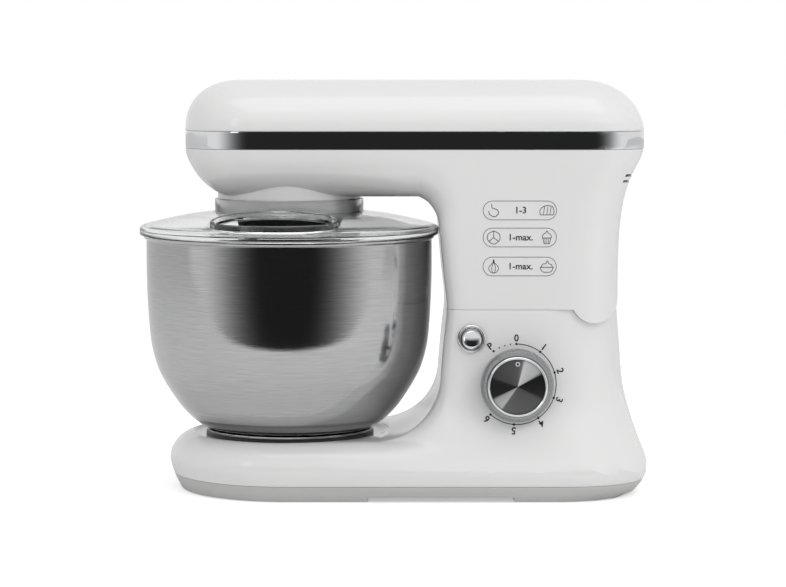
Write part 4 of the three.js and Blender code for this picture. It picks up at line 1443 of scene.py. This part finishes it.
@dataclass
class Print:
    """Generic marks on the near side: dial numbers and three tool hints."""

    head: HeadForm
    base: BaseForm
    finishes: Finishes
    knob: Vector = field(default_factory=lambda: Vector(KNOB_AT))
    lift: float = 0.06
    thick: float = 0.1

    def build(self) -> None:
        """Prints the dial on the base and the hints on the head."""
        dial = self.dial()
        Bench.weld(dial, "dial_marks")
        self.lay(dial[0], self.base_side)
        fit_out(dial[0], self.finishes.dark_print.make(), "base", "black_plastic")
        hints = self.hints()
        Bench.weld(hints, "tool_marks")
        self.lay(hints[0], lambda x, z: self.head.half_at(x, z))
        fit_out(hints[0], self.finishes.dark_print.make(), "head", "black_plastic")

    def base_side(self, x: float, z: float) -> float:
        """Half the base's width on the column's side at a point."""
        half = self.base.column_half(z)
        return half * self.base.behind(x, z, half)

    def lay(self, piece: bpy.types.Object, side: Callable[[float, float], float]) -> None:
        """Lays a flat mark on the near side; its depth becomes the mark's small thickness.

        Args:
            piece: the flat mark.
            side: tells the surface's half-width at a place and a height.
        """
        for vertex in piece.data.vertices:
            x, z = vertex.co.x / MM, vertex.co.z / MM
            outer = vertex.co.y < 0
            vertex.co.y = -(side(x, z) + (self.lift + self.thick if outer else -self.lift)) * MM
        Bench.polish(piece)

    def text(self, words: str, x: float, z: float, size: float, turn: float = 0.0,
             bold: float = 0.0) -> bpy.types.Object:
        """A line of generic text in the side view, centred and turned about its middle.

        Args:
            words: what it says.
            x: its middle along the machine.
            z: its middle's height.
            size: the letters' size.
            turn: how far it is turned, in radians.
            bold: how much its strokes are widened.

        Returns:
            The text as a mesh.
        """
        Bench.clear()
        bpy.ops.object.text_add()
        letters = bpy.context.object
        letters.data.body = words
        letters.data.size = size * MM
        letters.data.align_x = "CENTER"
        letters.data.align_y = "CENTER"
        letters.data.extrude = 0.05 * MM
        letters.data.offset = bold * MM
        letters.data.resolution_u = 3
        letters.matrix_world = (Matrix.Translation((x * MM, 0, z * MM)) @ Matrix.Rotation(turn, 4, "Y")
                                @ Matrix.Rotation(math.pi / 2, 4, "X"))
        Bench.take(letters)
        bpy.ops.object.convert(target="MESH")
        Bench.settle(letters)
        return letters

    def stroke(self, points: Sequence[Point], width: float, closed: bool = False) -> bpy.types.Object:
        """A line of even width through points of the side view.

        Args:
            points: the places it runs through.
            width: its width.
            closed: whether it ends where it starts.

        Returns:
            The line.
        """
        count = len(points)
        rows = []
        for i, (x, z) in enumerate(points):
            before = points[i - 1] if i > 0 or closed else points[i]
            after = points[(i + 1) % count] if i < count - 1 or closed else points[i]
            direction = Vector((after[0] - before[0], after[1] - before[1]))
            direction = direction.normalized() if direction.length else Vector((1, 0))
            across = Vector((-direction.y, direction.x)) * width / 2
            corners = [(x + across.x, z + across.y), (x - across.x, z - across.y)]
            rows.append([Vector((cx, cy, cz)) for (cx, cz), cy in
                         ((corners[0], -0.05), (corners[1], -0.05), (corners[1], 0.05), (corners[0], 0.05))])
        if closed:
            rows.append(rows[0])
        return Bench.skin("stroke", rows, caps=not closed)

    def arc(self, x: float, z: float, radius: float, start: float, end: float,
            width: float) -> bpy.types.Object:
        """An arc about a point; angles run clockwise from the top, in degrees.

        Args:
            x: its middle along the machine.
            z: its middle's height.
            radius: its radius.
            start: where it starts.
            end: where it ends.
            width: its width.

        Returns:
            The arc.
        """
        steps = max(int(abs(end - start) / 4), 4)
        points = []
        for i in range(steps + 1):
            angle = math.radians(mix(start, end, i / steps))
            points.append((x + radius * math.sin(angle), z + radius * math.cos(angle)))
        return self.stroke(points, width)

    def dial(self) -> list[bpy.types.Object]:
        """The scale about the knob: pulse, off and six speeds.

        Returns:
            The scale's marks.
        """
        x, z, arc_r, step = self.knob.x, self.knob.z, 30.4, 36.8
        marks = [self.arc(x, z, arc_r, 0, 6 * step, 0.6)]
        for i in range(7):
            marks += self.station(x, z, i * step, arc_r, str(i), 0.95)
        marks += self.station(x, z, -35, arc_r, "P", 0.9)
        for offset in (-8.5, -17, -25.5):
            marks.append(self.dot(x, z, offset, arc_r, 0.55))
        return marks

    def station(self, x: float, z: float, turn: float, arc_r: float, words: str,
                size: float) -> list[bpy.types.Object]:
        """A dot on the arc with its number outside it.

        Args:
            x: the dial's middle along the machine.
            z: its middle's height.
            turn: the place on the arc, in degrees.
            arc_r: the arc's radius.
            words: what stands there.
            size: the dot's radius.

        Returns:
            The dot and the number.
        """
        angle = math.radians(turn)
        at = (x + (arc_r + 4.3) * math.sin(angle), z + (arc_r + 4.3) * math.cos(angle))
        return [self.dot(x, z, turn, arc_r, size), self.text(words, *at, 7.4, angle, bold=0.16)]

    def dot(self, x: float, z: float, turn: float, arc_r: float, size: float) -> bpy.types.Object:
        """A round dot on an arc about a point.

        Args:
            x: the arc's middle along the machine.
            z: its middle's height.
            turn: the place on the arc, in degrees.
            arc_r: the arc's radius.
            size: the dot's radius.

        Returns:
            The dot.
        """
        angle = math.radians(turn)
        at = Vector((x + arc_r * math.sin(angle), 0, z + arc_r * math.cos(angle)))
        return Bench.turn("dot", [(0, -0.05), (size, -0.05), (size, 0.05), (0, 0.05)], at, 16, "-Y")

    def pill(self, x: float, z: float, length: float, height: float) -> bpy.types.Object:
        """A rounded outline.

        Args:
            x: its middle along the machine.
            z: its middle's height.
            length: its length.
            height: its height.

        Returns:
            The outline.
        """
        radius = height / 2
        points = []
        for i in range(25):
            angle = math.radians(i / 24 * 180)
            points.append((x + length / 2 - radius + radius * math.sin(angle), z + radius * math.cos(angle)))
        for i in range(25):
            angle = math.radians(180 + i / 24 * 180)
            points.append((x - length / 2 + radius + radius * math.sin(angle), z + radius * math.cos(angle)))
        return self.stroke(points, 0.35, closed=True)

    def hints(self) -> list[bpy.types.Object]:
        """Three outlines, each with a tool, its speeds and a food.

        Returns:
            The hints' marks.
        """
        marks = []
        x = 96.4
        rows = ((220.8, "1-3", self.hook, self.loaf), (200.2, "1-max.", self.paddle, self.cake),
                (178.1, "1-max.", self.whisk, self.mound))
        for z, words, tool, food in rows:
            marks.append(self.pill(x, z, 55.8, 14.3))
            marks.append(self.text(words, x + 0.6, z, 7.0, bold=0.1))
            marks += tool(x - 19.8, z)
            marks += food(x + 20.6, z)
        return marks

    def hook(self, x: float, z: float) -> list[bpy.types.Object]:
        """A dough hook.

        Args:
            x: the middle along the machine.
            z: the middle's height.

        Returns:
            Its lines.
        """
        points = smooth_path([(x - 1.5, z + 5), (x - 1.2, z + 2), (x + 2.4, z + 0.6), (x + 3.6, z - 2.2),
                              (x + 0.6, z - 4.8), (x - 3.2, z - 3), (x - 3.8, z - 0.6)], 5)
        return [self.stroke(points, 0.5)]

    def paddle(self, x: float, z: float) -> list[bpy.types.Object]:
        """A flat beater.

        Args:
            x: the middle along the machine.
            z: the middle's height.

        Returns:
            Its lines.
        """
        outline = smooth_path([(x, z + 5), (x - 4.2, z + 2.6), (x - 4.4, z - 2), (x, z - 5), (x + 4.4, z - 2),
                               (x + 4.2, z + 2.6), (x, z + 5)], 5)
        bars = [[(x, z + 5), (x, z)], [(x, z), (x - 3.8, z - 3.2)], [(x, z), (x + 3.8, z - 3.2)]]
        return [self.stroke(outline, 0.45)] + [self.stroke(bar, 0.45) for bar in bars]

    def whisk(self, x: float, z: float) -> list[bpy.types.Object]:
        """A balloon whisk.

        Args:
            x: the middle along the machine.
            z: the middle's height.

        Returns:
            Its lines.
        """
        marks = []
        for wide in (1.4, 3.6):
            loop = smooth_path([(x, z + 3.4), (x - wide, z - 0.6), (x - wide * 0.7, z - 4), (x, z - 5),
                                (x + wide * 0.7, z - 4), (x + wide, z - 0.6), (x, z + 3.4)], 5)
            marks.append(self.stroke(loop, 0.4))
        marks.append(self.stroke([(x, z + 5.2), (x, z + 3.2)], 1.1))
        return marks

    def loaf(self, x: float, z: float) -> list[bpy.types.Object]:
        """A sliced loaf.

        Args:
            x: the middle along the machine.
            z: the middle's height.

        Returns:
            Its lines.
        """
        outline = smooth_path([(x - 5, z - 3.4), (x - 5.2, z + 0.4), (x - 1.6, z + 3.4), (x + 3.6, z + 3.2),
                               (x + 5.2, z + 0.2), (x + 5, z - 3.4)], 5)
        marks = [self.stroke(outline, 0.45), self.stroke([(x - 5, z - 3.4), (x + 5, z - 3.4)], 0.45)]
        for i in (-1.8, 0.8, 3.2):
            marks.append(self.stroke([(x + i - 1, z - 3.2), (x + i, z + 2.8)], 0.35))
        return marks

    def cake(self, x: float, z: float) -> list[bpy.types.Object]:
        """A small cake in a paper cup.

        Args:
            x: the middle along the machine.
            z: the middle's height.

        Returns:
            Its lines.
        """
        cup = [(x - 3, z - 0.4), (x - 2, z - 4.8), (x + 2, z - 4.8), (x + 3, z - 0.4)]
        crown = smooth_path([(x - 3.4, z - 0.4), (x - 3, z + 2.2), (x - 1, z + 3.4), (x, z + 5),
                             (x + 1, z + 3.4), (x + 3, z + 2.2), (x + 3.4, z - 0.4)], 5)
        brim = [(x - 3.4, z - 0.4), (x + 3.4, z - 0.4)]
        marks = [self.stroke(cup, 0.45), self.stroke(crown, 0.45), self.stroke(brim, 0.5)]
        for i in (-1.2, 0, 1.2):
            marks.append(self.stroke([(x + i, z - 4.6), (x + i * 1.2, z - 0.6)], 0.3))
        return marks

    def mound(self, x: float, z: float) -> list[bpy.types.Object]:
        """Whipped cream in a bowl.

        Args:
            x: the middle along the machine.
            z: the middle's height.

        Returns:
            Its lines.
        """
        dish = smooth_path([(x - 5, z - 0.6), (x - 3.4, z - 3.8), (x, z - 4.4), (x + 3.4, z - 3.8),
                            (x + 5, z - 0.6)], 5)
        cream = smooth_path([(x - 4.4, z - 0.6), (x - 3, z + 1.8), (x - 0.8, z + 2.2), (x + 0.4, z + 4.4),
                             (x + 1.6, z + 2.2), (x + 3.6, z + 1.4), (x + 4.4, z - 0.6)], 5)
        brim = [(x - 5.2, z - 0.6), (x + 5.2, z - 0.6)]
        return [self.stroke(line, 0.45) for line in (dish, cream, brim)]


# ---- inner pieces that keep the design's shape ------------------------------------------------------------

@dataclass
class Works:
    """Dresses the design's own solids for the drive, hinge and electrics."""

    finishes: Finishes

    def build(self) -> None:
        """Gives each inner node its finish."""
        kit = self.finishes
        chosen = {
            kit.steel: ("tray_screw_1", "tray_screw_2", "tray_screw_3", "tray_screw_4", "hinge_bracket",
                        "hinge_pin", "lock_bar", "motor_body", "planet_gear", "tool_shaft", "pinion_shaft",
                        "motor_pulley"),
            kit.black: ("speed_switch", "head_deck", "planet_carrier"),
            kit.board: ("control_board",),
            kit.bowl_steel: ("bowl_foot",),
            kit.bronze: ("hinge_bush_near", "hinge_bush_far"),
            kit.cast: ("ring_gear", "gear_housing", "gear_cover", "motor_bracket", "flat_beater"),
            kit.rubber: ("drive_belt",),
            kit.nylon: ("carrier_wheel", "belt_pulley", "motor_fan"),
            kit.winding: ("motor_rotor",),
        }
        for finish, names in chosen.items():
            for name in names:
                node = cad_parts[name]
                node.data.materials.clear()
                node.data.materials.append(finish.make())
            LOG.info("%s: %d inner pieces", finish.name, len(names))


# ---- studio -----------------------------------------------------------------------------------------------

@dataclass
class Studio:
    """Plain floor, soft light and the camera."""

    camera_back: float = 1925.0
    camera_height: float = 314.0
    focal: float = 112.2
    aim_height: float = 152.0
    floor_front: float = -0.43
    floor_glow: float = 0.42

    def build(self) -> None:
        """Sets the camera, the floor, the surround and the lamps."""
        self.camera()
        self.floor("floor", self.floor_front, 14.0)
        front = self.floor("floor_front", -14.0, self.floor_front)
        front.visible_glossy = False
        self.surround()
        self.lamp("top", (0.1, -0.3, 2.2), (0, 0, 0.1), 2.2, 1.6, 9)
        key = self.lamp("key", (1.25, -1.3, 1.5), (0, 0, 0.15), 0.9, 0.9, 9)
        key.visible_glossy = False
        self.lamp("window", (-1.0, -1.1, 0.75), (-0.05, 0, 0.1), 0.3, 0.5, 0.6)
        soft = self.lamp("fill", (-0.4, -2.6, 1.0), (0, 0, 0.15), 2.4, 1.6, 5)
        soft.visible_glossy = False

    def floor(self, name: str, front: float, back: float) -> bpy.types.Object:
        """A pale floor between two lines, in metres.

        Args:
            name: the piece's name.
            front: where it starts, towards the camera.
            back: where it ends, behind the machine.

        Returns:
            The floor.
        """
        Bench.clear()
        bpy.ops.mesh.primitive_plane_add(size=1, location=(0, (front + back) / 2, 0))
        floor = bpy.context.object
        floor.name = name
        floor.scale = (28, back - front, 1)
        Bench.settle(floor)
        finish = Finish("pale floor", (0.93, 0.93, 0.93), (0.91, 0.91, 0.91), 0.8, 0.05, broad_scale=1.5,
                        bump=0.01, specular=0.2)
        material = finish.make()
        tree = material.node_tree
        sight, glow = tree.nodes.new("ShaderNodeLightPath"), tree.nodes.new("ShaderNodeMath")
        glow.operation = "MULTIPLY"
        glow.inputs[1].default_value = self.floor_glow
        tree.links.new(sight.outputs["Is Camera Ray"], glow.inputs[0])
        shader = tree.nodes["Principled BSDF"]
        shader.inputs["Emission Color"].default_value = (1, 1, 1, 1)
        tree.links.new(glow.outputs[0], shader.inputs["Emission Strength"])
        floor.data.materials.append(material)
        return floor

    def surround(self) -> None:
        """A bright room that mirrors see as dark in front, as a black flag in a studio makes it."""
        world = bpy.data.worlds.new("surround")
        bpy.context.scene.world = world
        world.use_nodes = True
        nodes, links = world.node_tree.nodes, world.node_tree.links
        background = nodes["Background"]
        place = nodes.new("ShaderNodeTexCoord")
        split = nodes.new("ShaderNodeSeparateXYZ")
        links.new(place.outputs["Generated"], split.inputs[0])
        front = self.ramp(nodes, links, split.outputs["Y"], -0.95, -0.3, 1.0, 0.0)
        low = self.ramp(nodes, links, split.outputs["Z"], 0.3, 0.6, 1.0, 0.0)
        dark = nodes.new("ShaderNodeMath")
        dark.operation = "MULTIPLY"
        links.new(front, dark.inputs[0])
        links.new(low, dark.inputs[1])
        room = nodes.new("ShaderNodeMix")
        room.data_type = "RGBA"
        room.inputs["A"].default_value = (0.85, 0.85, 0.85, 1)
        room.inputs["B"].default_value = (0.02, 0.02, 0.02, 1)
        links.new(dark.outputs[0], room.inputs["Factor"])
        sight = nodes.new("ShaderNodeLightPath")
        chosen = nodes.new("ShaderNodeMix")
        chosen.data_type = "RGBA"
        chosen.inputs["A"].default_value = (0.66, 0.66, 0.66, 1)
        links.new(sight.outputs["Is Glossy Ray"], chosen.inputs["Factor"])
        links.new(room.outputs["Result"], chosen.inputs["B"])
        seen = nodes.new("ShaderNodeMix")
        seen.data_type = "RGBA"
        seen.inputs["B"].default_value = (1.0, 1.0, 1.0, 1)
        links.new(sight.outputs["Is Camera Ray"], seen.inputs["Factor"])
        links.new(chosen.outputs["Result"], seen.inputs["A"])
        links.new(seen.outputs["Result"], background.inputs["Color"])
        background.inputs["Strength"].default_value = 1.0
        bpy.context.scene.view_settings.view_transform = "Standard"

    @staticmethod
    def ramp(nodes: bpy.types.Nodes, links: bpy.types.NodeLinks, source: bpy.types.NodeSocket, start: float,
             end: float, first: float, last: float) -> bpy.types.NodeSocket:
        """A soft change from one value to another as the source goes from start to end.

        Args:
            nodes: the material's nodes.
            links: its links.
            source: what the value follows.
            start: where the change starts.
            end: where it ends.
            first: the value before.
            last: the value after.

        Returns:
            The value.
        """
        step = nodes.new("ShaderNodeMapRange")
        step.interpolation_type = "SMOOTHSTEP"
        for label, value in (("From Min", start), ("From Max", end), ("To Min", first), ("To Max", last)):
            step.inputs[label].default_value = value
        links.new(source, step.inputs["Value"])
        return step.outputs[0]

    def lamp(self, name: str, at: Sequence[float], towards: Sequence[float], width: float, height: float,
             power: float) -> bpy.types.Object:
        """One soft rectangular lamp, placed and sized in metres, with its power in watts.

        Args:
            name: the lamp's name.
            at: its place.
            towards: the place that it faces.
            width: its width.
            height: its height.
            power: its power.

        Returns:
            The lamp.
        """
        Bench.clear()
        bpy.ops.object.light_add(type="AREA", location=at)
        lamp = bpy.context.object
        lamp.name = name
        lamp.data.shape = "RECTANGLE"
        lamp.data.size, lamp.data.size_y = width, height
        lamp.data.energy = power
        lamp.rotation_mode = "QUATERNION"
        lamp.rotation_quaternion = (Vector(towards) - Vector(at)).to_track_quat("-Z", "Y")
        return lamp

    def camera(self) -> None:
        """The camera, level with the lid's top and far back."""
        Bench.clear()
        at = Vector((0, -self.camera_back, self.camera_height)) * MM
        aim = Vector((0, 0, self.aim_height)) * MM
        bpy.ops.object.camera_add(location=at)
        camera = bpy.context.object
        camera.data.sensor_width = 36
        camera.data.lens = self.focal
        camera.data.clip_end = 60
        camera.rotation_mode = "QUATERNION"
        camera.rotation_quaternion = (aim - at).to_track_quat("-Z", "Y")
        bpy.context.scene.camera = camera


def main() -> None:
    """Builds the machine in order."""
    logging.basicConfig(level=logging.INFO, format="%(message)s")
    finishes = Finishes()
    pivot = middle_of("hinge_pin")
    head_form = HeadForm()
    base_form = BaseForm(head_form)
    Studio().build()
    Base(base_form, finishes, pivot).build()
    Head(head_form, finishes, pivot).build()
    Controls(finishes).build()
    Bowl(finishes).build()
    Print(head_form, base_form, finishes).build()
    Works(finishes).build()


if __name__ == "__main__":
    main()
